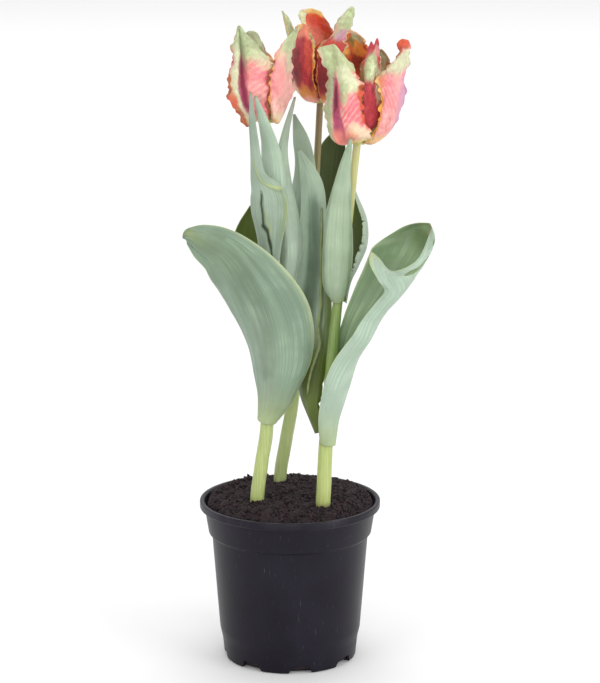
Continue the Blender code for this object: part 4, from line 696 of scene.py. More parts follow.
# How each tepal that shows is painted: its ground, the stripes that feather over it and how strong
# they are, and its two margins, left and right in the picture. Washes lie over them in turn. Each is
# its middle (how far up the tepal and how far across it, left to right), its two reaches, its paint
# and how strong it is.
PAINTS = {
    "left_outer_tepal_1": {
        "ground": (PINK, CREAM, 0.55),
        "margins": (RUST, AMBER),
        "washes": (
            (0.30, -0.85, 0.30, 0.24, AMBER, 0.8),
            (0.24, -0.80, 0.18, 0.36, RUST, 0.7),
            (0.05, 0.0, 0.10, 1.2, CREAM, 0.7),
            (0.42, 0.45, 0.20, 0.30, PALE_PINK, 0.5),
            (0.60, 0.30, 0.10, 0.5, PINK, 0.5),
            (0.88, 0.1, 0.24, 1.3, GREEN, 0.95),
            (0.72, 0.75, 0.10, 0.35, PALE_GREEN, 0.6),
            (0.62, -0.52, 0.34, 0.34, PALE_GREEN, 0.95),
            (0.20, -0.50, 0.16, 0.30, PALE_GREEN, 0.7),
            # The magenta and wine washes down the middle are partly the tepal's own magenta and partly
            # painted shade in its folded groove
            (0.48, -0.20, 0.28, 0.26, MAGENTA, 0.9),
            (0.46, -0.16, 0.24, 0.13, WINE, 0.6),
            (0.30, -0.10, 0.14, 0.34, MAGENTA, 0.8),
            (0.40, -0.97, 0.42, 0.13, RUST, 0.9),
            (0.36, -0.80, 0.07, 0.2, ORANGE_RED, 0.8),
            (0.22, -0.78, 0.08, 0.2, RUST, 0.8),
            (0.10, -0.7, 0.06, 0.3, CREAM, 0.9),
            (0.06, -0.5, 0.05, 0.3, AMBER, 0.8),
            (0.90, 0.0, 0.18, 1.0, GREY_GREEN, 0.6),
        ),
    },
    "left_inner_tepal_1": {
        "ground": (GREY_GREEN, PALE_GREEN, 0.3),
        "margins": (GREEN, CRIMSON),
        "washes": (
            (0.50, 0.6, 0.30, 0.5, SALMON, 0.6),
            (0.85, -0.1, 0.22, 0.7, GREY_GREEN, 0.7),
        ),
    },
    "left_outer_tepal_2": {
        "ground": (PALE_PINK, CREAM, 0.5),
        "margins": (AMBER, PALE_PINK),
        "washes": (
            (0.48, -0.5, 0.22, 0.5, PINK, 0.5),
            (0.42, 0.55, 0.24, 0.5, PALE_PINK, 0.55),
            (0.92, 0.1, 0.28, 1.3, GREEN, 0.95),
            (0.68, 0.5, 0.14, 0.5, PALE_GREEN, 0.8),
            (0.82, -0.9, 0.14, 0.35, PALE_PINK, 0.6),
            (0.12, -0.2, 0.13, 0.8, CREAM, 0.7),
            (0.10, -0.5, 0.08, 0.5, AMBER, 0.6),
            (0.40, -0.95, 0.34, 0.13, AMBER, 0.9),
        ),
    },
    "back_outer_tepal_3": {
        "ground": (GREY_GREEN, PALE_GREEN, 0.3),
        "margins": (GREEN, CREAM),
        "washes": ((0.75, 0.9, 0.3, 0.4, YELLOW, 0.5),),
        "far": {
            "ground": (PALE_GREEN, GREEN, 0.5),
            "margins": (CREAM, GREEN),
            "washes": (),
        },
    },
    "back_outer_tepal_1": {
        "ground": (CRIMSON, DARK_RED, 0.65),
        "margins": (ORANGE_RED, AMBER),
        "washes": (
            (0.50, -0.35, 0.26, 0.45, DARK_RED, 0.75),
            (0.36, -0.6, 0.12, 0.35, WINE, 0.7),
            (0.60, 0.55, 0.24, 0.3, ORANGE_RED, 0.55),
            (0.92, 0.1, 0.14, 1.3, SALMON, 0.85),
            (0.97, -0.3, 0.06, 0.6, YELLOW, 0.7),
            (0.78, -0.88, 0.16, 0.22, AMBER, 0.8),
            (0.50, 0.95, 0.42, 0.15, AMBER, 1.0),
            (0.62, 1.0, 0.16, 0.16, YELLOW, 0.9),
            (0.20, -0.1, 0.12, 0.9, AMBER, 0.7),
            (0.11, 0.1, 0.12, 0.9, PALE_PINK, 0.8),
            (0.05, 0.3, 0.05, 0.7, CREAM, 0.8),
            (0.20, -0.8, 0.14, 0.35, CREAM, 0.8),
        ),
    },
    "back_inner_tepal_2": {
        "ground": (ORANGE_RED, SALMON, 0.2),
        "margins": (YELLOW, RUST),
        "washes": (
            (0.62, -0.05, 0.16, 0.5, SALMON, 0.75),
            (0.74, 0.5, 0.16, 0.45, CRIMSON, 0.4),
            (0.55, 0.8, 0.2, 0.4, RUST, 0.6),
            (0.80, -0.62, 0.42, 0.26, PALE_GREEN, 0.95),
            (0.70, -0.78, 0.3, 0.18, YELLOW, 0.75),
            (0.97, 0.0, 0.07, 1.4, YELLOW, 0.9),
            (0.99, -0.3, 0.05, 0.7, CREAM, 0.8),
        ),
        "far": {
            "ground": (PALE_GREEN, YELLOW, 0.5),
            "margins": (CREAM, CREAM),
            "washes": ((0.72, 0.0, 0.08, 1.5, YELLOW, 0.7),),
        },
    },
    "back_outer_tepal_2": {
        "ground": (CRIMSON, DARK_RED, 0.6),
        "margins": (AMBER, SALMON),
        "washes": (
            (0.36, -0.3, 0.16, 0.6, DARK_RED, 0.75),
            (0.56, 0.0, 0.10, 1.0, ORANGE_RED, 0.4),
            (0.86, 0.1, 0.30, 1.5, GREEN, 1.0),
            (0.66, 0.25, 0.09, 0.6, LAVENDER, 0.75),
            (0.74, -0.6, 0.10, 0.35, PALE_PINK, 0.6),
            (0.92, -0.3, 0.14, 0.4, PALE_GREEN, 0.6),
            (0.10, -0.1, 0.10, 1.0, AMBER, 0.7),
            (0.08, -0.2, 0.08, 1.0, PALE_PINK, 0.8),
            (0.04, 0.2, 0.04, 1.0, CREAM, 0.7),
        ),
    },
    "right_outer_tepal_1": {
        "ground": (PINK, CREAM, 0.75),
        "margins": (PALE_GREEN, ORANGE_RED),
        "washes": (
            (0.34, 0.62, 0.20, 0.35, PINK, 0.55),
            (0.30, -0.72, 0.16, 0.4, GREEN, 0.75),
            (0.60, -0.62, 0.36, 0.46, GREY_GREEN, 0.95),
            (0.66, -0.90, 0.30, 0.16, (0.40, 0.24, 0.10), 0.5),
            (0.90, 0.0, 0.22, 1.4, GREEN, 0.95),
            (0.66, 0.45, 0.16, 0.5, PALE_GREEN, 0.95),
            (0.50, 0.28, 0.14, 0.22, GREEN, 0.8),
            (0.90, -0.9, 0.1, 0.3, CREAM, 0.7),
            # The magenta and wine washes down the middle are partly the tepal's own magenta and partly
            # painted shade in its folded groove
            (0.42, -0.20, 0.26, 0.26, MAGENTA, 0.9),
            (0.40, -0.20, 0.20, 0.14, WINE, 0.9),
            (0.24, -0.10, 0.14, 0.26, MAGENTA, 0.9),
            (0.15, -0.35, 0.09, 0.5, SALMON, 0.6),
            (0.17, -0.7, 0.10, 0.3, GREY_GREEN, 0.8),
            (0.08, -0.6, 0.06, 0.5, PALE_GREEN, 0.8),
            (0.16, 0.75, 0.10, 0.5, CREAM, 0.85),
            (0.13, 0.35, 0.07, 0.3, SALMON, 0.6),
            (0.04, 0.6, 0.06, 0.8, YELLOW, 0.95),
            (0.44, 0.95, 0.24, 0.14, ORANGE_RED, 0.9),
            (0.62, 0.98, 0.05, 0.14, RUST, 0.9),
        ),
    },
    "right_outer_tepal_2": {
        "ground": (PALE_PINK, PINK, 0.8),
        "margins": (AMBER, LAVENDER),
        "washes": (
            (0.36, 0.55, 0.24, 0.45, LAVENDER, 0.75),
            (0.36, 0.95, 0.26, 0.26, (0.50, 0.21, 0.42), 0.75),
            (0.48, -0.35, 0.16, 0.4, PINK, 0.4),
            (0.52, -0.75, 0.06, 0.3, SALMON, 0.8),
            (0.66, 0.1, 0.13, 1.4, GREY_GREEN, 0.5),
            (0.68, 0.3, 0.13, 1.2, PALE_GREEN, 0.85),
            (0.26, -0.92, 0.28, 0.16, AMBER, 1.0),
            (0.10, -0.4, 0.08, 0.8, YELLOW, 0.6),
            (0.50, -1.0, 0.08, 0.2, YELLOW, 0.7),
            (0.80, -0.8, 0.14, 0.4, RUST, 0.8),
            (0.92, 0.0, 0.14, 2.0, ORANGE_RED, 1.0),
        ),
        "far": {
            "ground": (SALMON, CRIMSON, 0.5),
            "margins": (AMBER, AMBER),
            "washes": ((0.95, 0.0, 0.16, 2.0, ORANGE_RED, 1.0),),
        },
    },
    "right_outer_tepal_3": {
        "ground": (ORANGE_RED, AMBER, 0.6),
        "margins": (PALE_GREEN, PALE_GREEN),
        "washes": (
            (0.56, 0.0, 0.12, 0.5, DARK_RED, 0.7),
            (0.74, 0.1, 0.12, 0.7, AMBER, 0.7),
            (0.82, -0.4, 0.10, 0.35, OLIVE, 0.8),
            (0.90, 0.3, 0.10, 0.8, GREEN, 0.85),
            (0.97, 0.0, 0.05, 1.2, CREAM, 0.8),
            (0.62, -0.85, 0.12, 0.2, AMBER, 0.9),
        ),
    },
    "right_inner_tepal_1": {
        "ground": (CRIMSON, PINK, 0.5),
        "margins": (OLIVE, CREAM),
        "washes": (
            (0.66, 0.05, 0.20, 0.75, GREEN, 0.95),
            (0.48, 0.7, 0.20, 0.35, PALE_GREEN, 0.9),
            (0.40, -0.75, 0.28, 0.3, OLIVE, 0.85),
            (0.60, 0.15, 0.16, 0.18, PALE_GREEN, 0.7),
            (0.28, 0.0, 0.14, 0.5, CRIMSON, 0.8),
            (0.94, -0.1, 0.09, 1.3, CRIMSON, 0.9),
            (0.84, 0.6, 0.08, 0.4, PALE_PINK, 0.7),
        ),
    },
    "right_inner_tepal_2": {
        "ground": (GREEN, PALE_GREEN, 0.35),
        "margins": (CREAM, SALMON),
        "washes": (
            (0.78, 0.1, 0.12, 0.5, PALE_GREEN, 0.7),
            (0.62, 0.7, 0.14, 0.5, ORANGE_RED, 0.8),
        ),
    },
}
# The tepals behind: one set of paints for each flower
HIDDEN_PAINTS = {
    "left": {
        "ground": (PINK, CREAM, 0.6),
        "margins": (AMBER, RUST),
        "washes": ((0.45, 0.0, 0.26, 0.2, MAGENTA, 0.8), (0.88, 0.0, 0.26, 1.3, GREEN, 0.95)),
    },
    "back": {
        "ground": (CRIMSON, DARK_RED, 0.6),
        "margins": (AMBER, ORANGE_RED),
        "washes": ((0.40, 0.0, 0.26, 0.5, DARK_RED, 0.7), (0.92, 0.0, 0.2, 1.3, ORANGE_RED, 0.8)),
    },
    "right": {
        "ground": (PALE_PINK, PINK, 0.7),
        "margins": (AMBER, ORANGE_RED),
        "washes": ((0.40, 0.0, 0.24, 0.2, CRIMSON, 0.8), (0.84, 0.0, 0.26, 1.3, GREEN, 0.95)),
    },
}
# What the face that a tepal turns away is painted with, for each flower
FAR_PAINTS = {
    "left": {"ground": (SALMON, PINK, 0.5), "margins": (AMBER, AMBER), "washes": ()},
    "back": {"ground": (ORANGE_RED, DARK_RED, 0.5), "margins": (AMBER, RUST), "washes": ()},
    "right": {
        "ground": (SALMON, CRIMSON, 0.5),
        "margins": (AMBER, AMBER),
        "washes": ((0.3, 0.0, 0.3, 0.3, YELLOW, 0.5),),
    },
}


def length_property(name, description, default):
    return bpy.props.FloatProperty(
        name=name, description=description, default=default, unit="LENGTH"
    )


def colour_property(name, description, default):
    return bpy.props.FloatVectorProperty(
        name=name, description=description, default=default, subtype="COLOR"
    )


class TulipSizes(bpy.types.PropertyGroup):
    leaf_thickness: length_property("Leaf thickness", "Thickness of a leaf along its middle", 0.0009)
    tepal_thickness: length_property("Tepal thickness", "Thickness of a tepal along its middle", 0.0008)
    crumbs: bpy.props.IntProperty(
        name="Soil crumbs",
        description="How many loose crumbs lie on the soil, at most",
        default=1700,
    )
    crumb_size: length_property("Crumb size", "Radius of a middling crumb", 0.0014)


class TulipColours(bpy.types.PropertyGroup):
    pot: colour_property("Pot", "Colour of the pot's plastic", (0.0078, 0.0062, 0.0122))
    soil: colour_property("Soil", "Colour of the moist soil", (0.0160, 0.0066, 0.0092))
    floor: colour_property("Floor", "Colour of the studio floor", (0.95, 0.95, 0.95))


def along(stations, shares):
    """The stations' values at each share of the way along, on a smooth curve through them all."""
    stations = np.asarray(stations, float)
    shares = np.atleast_1d(np.asarray(shares, float))
    last = len(stations) - 1
    place = np.clip(shares, 0, 1) * last
    start = np.minimum(place.astype(int), last - 1)
    part = (place - start).reshape((-1,) + (1,) * (stations.ndim - 1))
    before, here, there, after = (
        stations[np.clip(start + step, 0, last)] for step in (-1, 0, 1, 2)
    )
    bend = 2 * before - 5 * here + 4 * there - after
    rest = 3 * (here - there) + after - before
    return here + 0.5 * part * (there - before + part * (bend + part * rest))


def unit(vectors):
    return vectors / np.maximum(np.linalg.norm(vectors, axis=-1, keepdims=True), 1e-9)


def outward_of(grid):
    """Which way the outer face of a blade looks at each point of its grid."""
    return unit(np.cross(np.gradient(grid, axis=1), np.gradient(grid, axis=0)))


def shares_of(grid):
    """How far up a blade its rows lie, from 0 to 1, and how far across its columns, from -1 to 1."""
    rows, columns = grid.shape[:2]
    return np.linspace(0, 1, rows)[:, None], np.linspace(-1, 1, columns)[None, :]


def noise_places(across, ahead, layer):
    """Where each point of a blade lies in the noise. Each layer has its own part of it."""
    return np.stack(np.broadcast_arrays(across, ahead, np.full((1, 1), layer)), -1)


def smooth(values, low, high):
    """0 below low, 1 above high and a smooth rise between them."""
    part = np.clip((values - low) / (high - low), 0, 1)
    return part * part * (3 - 2 * part)


def lattice(cells, seed):
    """A repeatable random value from -1 to 1 for each whole-numbered cell."""
    mixed = cells[..., 0] * 374761 + cells[..., 1] * 668265 + cells[..., 2] * 982451
    mixed = (mixed + seed * 127412) & 0x7FFFFFFF
    mixed = ((mixed ^ (mixed >> 13)) * 1274126177) & 0x7FFFFFFF
    mixed = ((mixed ^ (mixed >> 15)) * 668265263) & 0x7FFFFFFF
    return (mixed ^ (mixed >> 14)) % 65536 / 32767.5 - 1


def lumps(points, size, seed):
    """Smooth noise from -1 to 1 with lumps of about this size."""
    places = points / size
    cells = np.floor(places).astype(np.int64)
    part = places - cells
    part = part * part * (3 - 2 * part)
    total = np.zeros(points.shape[:-1])
    for corner in range(8):
        step = np.array([corner & 1, corner >> 1 & 1, corner >> 2 & 1])
        weight = np.prod(np.where(step, part, 1 - part), axis=-1)
        total += weight * lattice(cells + step, seed)
    return total


def crumple(points, size, seed, layers=3):
    """Lumps on lumps, each layer half the size and half the height of the last."""
    total = np.zeros(points.shape[:-1])
    for layer in range(layers):
        total += lumps(points, size / 2**layer, seed + layer) / 2**layer
    return total


def link(mesh, name):
    made = bpy.data.objects.new(name, mesh)
    bpy.context.scene.collection.objects.link(made)
    return made


def finish_piece(piece, slot, *nodes):
    """Rides the piece on the one body and hides the packed parts that it stands for."""
    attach(piece, "root")
    if nodes:
        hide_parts(*nodes)


def plain_mesh(name, points, faces, finishes, sharp=None):
    """A smooth-shaded object from points in millimetres."""
    mesh = bpy.data.meshes.new(name)
    mesh.from_pydata((np.asarray(points, float) * MM).tolist(), [], faces)
    mesh.shade_smooth()
    if sharp is not None:
        mesh.set_sharp_from_angle(angle=math.radians(sharp))
    for finish in finishes:
        mesh.materials.append(finish)
    return link(mesh, name)


def grid_quads(rows, columns, first=0, flipped=False):
    """Quads over a grid of rows by columns points."""
    row, column = np.mgrid[0 : rows - 1, 0 : columns - 1]
    corner = first + row * columns + column
    quads = np.stack([corner, corner + 1, corner + columns + 1, corner + columns], -1)
    quads = quads.reshape(-1, 4)
    return quads[:, ::-1] if flipped else quads


def blade(name, grid, thickness, finish, outer, inner):
    """A closed blade from a grid of points, thinner at its margins, with its two faces and its rim.

    Its UV map runs across it and along it. Its attribute called tone holds the outer face's paint
    and the inner face's, and the one called inner is 0 on the outer face and 1 on the inner one.
    """
    rows, columns, _ = grid.shape
    outward = outward_of(grid)
    share, side = shares_of(grid)
    half = 0.5 * thickness * (1 - 0.55 * smooth(np.abs(side), 0.75, 1.0))
    half = (half * (1 - 0.4 * smooth(share, 0.9, 1.0)))[..., None]
    points = np.concatenate([grid + outward * half, grid - outward * half]).reshape(-1, 3)
    count = rows * columns
    index = np.arange(count).reshape(rows, columns)
    loop = np.concatenate([index[0, :], index[1:, -1], index[-1, -2::-1], index[-2:0:-1, 0]])
    after = np.roll(loop, -1)
    rim = np.stack([after, loop, loop + count, after + count], -1)
    quads = np.concatenate([grid_quads(rows, columns), grid_quads(rows, columns, count, True), rim])
    piece = plain_mesh(name, points, quads.tolist(), [finish])
    mesh = piece.data
    uv = np.stack(np.broadcast_arrays((side + 1) / 2, share), -1).reshape(-1, 2)
    uv = np.concatenate([uv, uv])
    corners = np.empty(len(mesh.loops), np.int32)
    mesh.loops.foreach_get("vertex_index", corners)
    layer = mesh.uv_layers.new(name="blade")
    layer.data.foreach_set("uv", uv[corners].astype(np.float32).ravel())
    face = mesh.attributes.new("inner", "FLOAT", "POINT")
    face.data.foreach_set("value", np.repeat([0.0, 1.0], count).astype(np.float32))
    paint = np.ones((2 * count, 4), np.float32)
    paint[:count, :3] = outer.reshape(-1, 3)
    paint[count:, :3] = inner.reshape(-1, 3)
    tone = mesh.attributes.new("tone", "FLOAT_COLOR", "POINT")
    tone.data.foreach_set("color", paint.ravel())
    return piece


def washed(colour, washes, share, side, seed, rim=1.15, core=0.60):
    """Lays washes of paint with ragged edges over the colours of a blade, one after another."""
    place = noise_places(side * 7, share * 26, seed * 3.1)
    ragged_edge = 0.24 * crumple(place, 3.0, seed + 60)
    for share_at, side_at, along_reach, across_reach, paint, strength in washes:
        away = np.hypot((share - share_at) / along_reach, (side - side_at) / across_reach)
        weight = strength * smooth(away + ragged_edge, rim, core)
        colour = colour + (np.array(paint) - colour) * weight[..., None]
    return colour


def stroked(colour, strokes, share, side):
    """Draws strokes of paint along a blade, each through points given as share and side."""
    here = np.stack(np.broadcast_arrays(share * STROKE_LENGTH, side * STROKE_WIDTH), -1)
    for points, half_width, paint, strength in strokes:
        points = np.array(points, float) * (STROKE_LENGTH, STROKE_WIDTH)
        distance = np.full(here.shape[:-1], 1e9)
        for start, end in zip(points[:-1], points[1:]):
            span = end - start
            reached = np.clip(((here - start) @ span) / (span @ span), 0, 1)[..., None]
            distance = np.minimum(distance, np.linalg.norm(here - start - reached * span, axis=-1))
        weight = strength * smooth(distance, half_width, 0.35 * half_width)
        colour = colour + (np.array(paint) - colour) * weight[..., None]
    return colour


def painted(paints, share, side, seed):
    """The colours of a tepal: its ground, its feathered stripes, its margins and its washes."""
    ground, stripe, strength = paints["ground"]
    place = noise_places(side * 9, share * 34, seed * 4.7)
    sway = lumps(place, 7.0, seed + 30)
    feather = share - 0.30 * np.abs(side) + 0.035 * sway + 0.008 * lumps(place, 1.5, seed + 31)
    wave = np.sin(2 * math.pi * 19 * feather + seed) + 0.6 * np.sin(2 * math.pi * 43 * feather)
    come_and_go = 0.35 + 0.65 * smooth(lumps(place, 5.0, seed + 33), -0.4, 0.3)
    weight = strength * smooth(wave, -0.1, 0.8) * come_and_go
    colour = np.array(ground) + (np.array(stripe) - np.array(ground)) * weight[..., None]
    blots = 1 + 0.22 * crumple(place, 2.4, seed + 35)
    colour = colour * blots[..., None]
    fiery = smooth(np.abs(side) + 0.07 * crumple(place, 2.0, seed + 37), 0.84, 0.97)
    change = smooth(crumple(place, 1.6, seed + 41), -0.1, 0.5)[..., None]
    for sign, paint in zip((-1, 1), paints["margins"]):
        weight = 0.9 * fiery * (np.sign(side) == sign)
        varied = np.array(paint) + (np.array(CREAM) - np.array(paint)) * 0.55 * change
        colour = colour + (varied - colour) * weight[..., None]
    colour = washed(colour, paints["washes"], share, side, seed)
    return np.clip(colour * (1 + 0.10 * lumps(place, 0.9, seed + 39))[..., None], 0, 1)


def tube(path, sides):
    """Rings of points round a path, whose rows are x, y, z and radius."""
    path = np.asarray(path, float)
    ahead = unit(np.gradient(path[:, :3], axis=0))
    right = unit(np.cross((0.0, 1.0, 0.0), ahead))
    back = np.cross(ahead, right)
    turn = np.linspace(0, 2 * math.pi, sides, endpoint=False)[None, :, None]
    spoke = right[:, None] * np.cos(turn) + back[:, None] * np.sin(turn)
    return path[:, None, :3] + spoke * path[:, None, 3:4]


def closed_rings(rings):
    """Faces over rings of points, closed at both ends."""
    rows, sides, _ = rings.shape
    faces = []
    for row in range(rows - 1):
        for side in range(sides):
            after = (side + 1) % sides
            low, high = row * sides, (row + 1) * sides
            faces.append((low + side, low + after, high + after, high + side))
    faces.append(tuple(reversed(range(sides))))
    faces.append(tuple(range((rows - 1) * sides, rows * sides)))
    return faces


class Finish:
    """One procedural material, built node by node."""

    def __init__(self, name, **sockets):
        self.material = bpy.data.materials.new(name)
        self.material.use_nodes = True
        self.tree = self.material.node_tree
        self.shader = self.tree.nodes["Principled BSDF"]
        for socket, value in sockets.items():
            self.shader.inputs[socket.replace("_", " ")].default_value = value

    def put(self, socket, value):
        if isinstance(value, bpy.types.NodeSocket):
            self.tree.links.new(value, socket)
        elif isinstance(value, tuple) and len(value) == 3 and socket.type == "RGBA":
            socket.default_value = (*value, 1.0)
        else:
            socket.default_value = value

    def add(self, kind, inputs, **settings):
        node = self.tree.nodes.new(kind)
        for name, value in settings.items():
            setattr(node, name, value)
        for key, value in inputs.items():
            self.put(node.inputs[key], value)
        return node

    def math(self, operation, first, second=0.0, third=0.0):
        inputs = {0: first, 1: second, 2: third}
        return self.add("ShaderNodeMath", inputs, operation=operation).outputs[0]

    def rise(self, value, low, high):
        """0 at low, 1 at high and a smooth rise between them."""
        inputs = {"Value": value, "From Min": low, "From Max": high}
        node = self.add("ShaderNodeMapRange", inputs, interpolation_type="SMOOTHSTEP")
        return node.outputs["Result"]

    def part(self, value, low, high, share):
        """The rise of a value between low and high, of which the share is kept."""
        return self.math("MULTIPLY", self.rise(value, low, high), share)

    def mix(self, share, first, second, blend="MIX"):
        node = self.add(
            "ShaderNodeMix",
            {0: share, 6: first, 7: second},
            data_type="RGBA",
            blend_type=blend,
        )
        return node.outputs[2]

    def noise(self, vector, scale, detail=3.0, distortion=0.0):
        inputs = {"Vector": vector, "Scale": scale, "Detail": detail, "Distortion": distortion}
        return self.add("ShaderNodeTexNoise", inputs).outputs["Fac"]

    def stretched(self, vector, scale):
        inputs = {"Vector": vector, "Scale": scale}
        return self.add("ShaderNodeMapping", inputs).outputs["Vector"]

    def height(self, place):
        return self.add("ShaderNodeSeparateXYZ", {"Vector": place}).outputs["Z"]

    def places(self):
        return self.add("ShaderNodeTexCoord", {}).outputs["Object"]

    def uv(self):
        """The UV place, and the parts of it across the blade and along it."""
        place = self.add("ShaderNodeUVMap", {}, uv_map="blade").outputs["UV"]
        parts = self.add("ShaderNodeSeparateXYZ", {"Vector": place})
        return place, parts.outputs["X"], parts.outputs["Y"]

    def attribute(self, name, output="Fac"):
        node = self.add("ShaderNodeAttribute", {}, attribute_name=name, attribute_type="GEOMETRY")
        return node.outputs[output]

    def times(self, colour, factor):
        """The colour, with each of its parts multiplied by the factor's."""
        return self.mix(1.0, colour, factor, "MULTIPLY")

    def bump(self, height, distance, strength=1.0, normal=None):
        inputs = {"Height": height, "Distance": distance, "Strength": strength}
        if normal is not None:
            inputs["Normal"] = normal
        return self.add("ShaderNodeBump", inputs).outputs["Normal"]

    def wear(self, colour=None, roughness=None, normal=None):
        if colour is not None:
            self.put(self.shader.inputs["Base Color"], colour)
        if roughness is not None:
            self.put(self.shader.inputs["Roughness"], roughness)
        if normal is not None:
            self.put(self.shader.inputs["Normal"], normal)
        return self.material


def shade(colour, share):
    return tuple(part * share for part in colour)


def leaf_finish(name):
    """A waxy leaf: its painted tone with lengthwise veins, soft mottling, flecks and a pale margin."""
    finish = Finish(
        f"{name}_skin",
        Roughness=0.5,
        Subsurface_Weight=0.12,
        Subsurface_Radius=(0.5, 1.0, 0.3),
        Subsurface_Scale=0.0015,
    )
    place, across, ahead = finish.uv()
    objects = finish.places()
    tone = finish.attribute("tone", "Color")
    veins = finish.noise(finish.stretched(place, (70.0, 1.3, 1.0)), 1.0, 3.0)
    fine = finish.noise(finish.stretched(place, (260.0, 4.0, 1.0)), 1.0, 2.0)
    patches = finish.noise(objects, 55.0, 4.0)
    flecks = finish.noise(objects, 900.0, 2.0)
    edge = finish.math("ABSOLUTE", finish.math("MULTIPLY_ADD", across, 2.0, -1.0))
    margin = finish.rise(finish.math("ADD", edge, finish.math("MULTIPLY", patches, 0.03)), 0.97, 1.01)
    tip = finish.rise(ahead, 0.975, 1.0)

    dark = finish.times(tone, (0.70, 0.72, 0.68))
    pale = finish.times(tone, (1.20, 1.18, 1.20))
    skin = finish.mix(finish.rise(patches, 0.35, 0.7), dark, finish.times(tone, (1.08, 1.08, 1.08)))
    skin = finish.mix(finish.rise(veins, 0.35, 0.7), dark, skin)
    skin = finish.mix(finish.part(fine, 0.5, 0.75, 0.4), skin, pale)
    skin = finish.mix(finish.part(flecks, 0.6, 0.75, 0.2), skin, dark)
    skin = finish.mix(finish.math("MULTIPLY", margin, 0.7), skin, (0.56, 0.62, 0.36))
    skin = finish.mix(finish.math("MULTIPLY", tip, 0.7), skin, (0.34, 0.22, 0.10))
    relief = finish.math("ADD", finish.math("MULTIPLY", veins, 0.6), finish.math("MULTIPLY", fine, 0.4))
    roughness = finish.math("MULTIPLY_ADD", patches, 0.22, 0.38)
    return finish.wear(skin, roughness, finish.bump(relief, 0.0006, 0.55))


def stem_finish(name, tones, low, high):
    """Pale juicy green with fibres that run up it, changing colour between the soil and the bloom."""
    finish = Finish(
        f"{name}_skin",
        Roughness=0.42,
        Subsurface_Weight=0.2,
        Subsurface_Radius=(0.6, 1.0, 0.25),
        Subsurface_Scale=0.002,
    )
    objects = finish.places()
    height = finish.height(objects)
    fibres = finish.noise(finish.stretched(objects, (1400.0, 1400.0, 22.0)), 1.0, 3.0)
    patches = finish.noise(finish.stretched(objects, (120.0, 120.0, 35.0)), 1.0, 3.0)
    middle = (low + high) / 2
    skin = finish.mix(finish.rise(height, low, middle), tones[0], tones[1])
    skin = finish.mix(finish.rise(height, middle, high), skin, tones[2])
    dark = finish.times(skin, (0.84, 0.88, 0.80))
    pale = finish.times(skin, (1.06, 1.05, 1.05))
    skin = finish.mix(finish.rise(fibres, 0.35, 0.65), dark, pale)
    skin = finish.mix(finish.part(patches, 0.5, 0.8, 0.35), skin, dark)
    earth = finish.rise(finish.math("ADD", height, finish.math("MULTIPLY", patches, 0.006)), 0.118, 0.110)
    skin = finish.mix(finish.math("MULTIPLY", earth, 0.75), skin, (0.12, 0.09, 0.05))
    return finish.wear(skin, None, finish.bump(fibres, 0.0004, 0.6))


def tepal_finish(name, seed):
    """A tepal's painted tone with fine veins that fan outwards, freckles and a satin bloom."""
    finish = Finish(
        f"{name}_skin",
        Roughness=0.5,
        Subsurface_Weight=0.16,
        Subsurface_Radius=(1.0, 0.45, 0.3),
        Subsurface_Scale=0.0015,
        Sheen_Weight=0.10,
        Sheen_Roughness=0.4,
    )
    place, across, ahead = finish.uv()
    objects = finish.places()
    tone = finish.attribute("tone", "Color")
    edge = finish.math("ABSOLUTE", finish.math("MULTIPLY_ADD", across, 2.0, -1.0))
    patches = finish.noise(objects, 110.0 + 7.0 * seed, 4.0, 0.6)
    blots = finish.noise(objects, 420.0, 3.0, 0.4)
    freckles = finish.noise(objects, 1100.0, 2.0)
    # Veins that start at the middle and run outwards and upwards
    feather = finish.math("MULTIPLY_ADD", edge, -0.34, ahead)
    feather = finish.math("MULTIPLY_ADD", patches, 0.05, feather)
    veins = finish.math("SINE", finish.math("MULTIPLY", feather, 300.0))
    veins = finish.math("MULTIPLY", finish.rise(veins, -0.4, 1.0), finish.rise(blots, 0.35, 0.6))
    dark = finish.times(tone, (0.84, 0.66, 0.64))
    pale = finish.times(tone, (1.06, 1.18, 1.16))
    skin = finish.mix(finish.math("MULTIPLY", veins, 0.55), tone, dark)
    skin = finish.mix(finish.part(patches, 0.5, 0.72, 0.6), skin, pale)
    skin = finish.mix(finish.part(freckles, 0.58, 0.72, 0.3), skin, dark)
    relief = finish.math("MULTIPLY_ADD", veins, 0.4, finish.math("MULTIPLY", blots, 0.9))
    return finish.wear(skin, None, finish.bump(relief, 0.0009, 0.7))


def heart_finish(name, low_tone, high_tone, scale):
    finish = Finish(f"{name}_skin", Roughness=0.55, Subsurface_Weight=0.1, Subsurface_Scale=0.001)
    objects = finish.places()
    grain = finish.noise(objects, scale, 4.0)
    skin = finish.mix(finish.rise(grain, 0.35, 0.65), low_tone, high_tone)
    return finish.wear(skin, None, finish.bump(grain, 0.0004, 0.5))


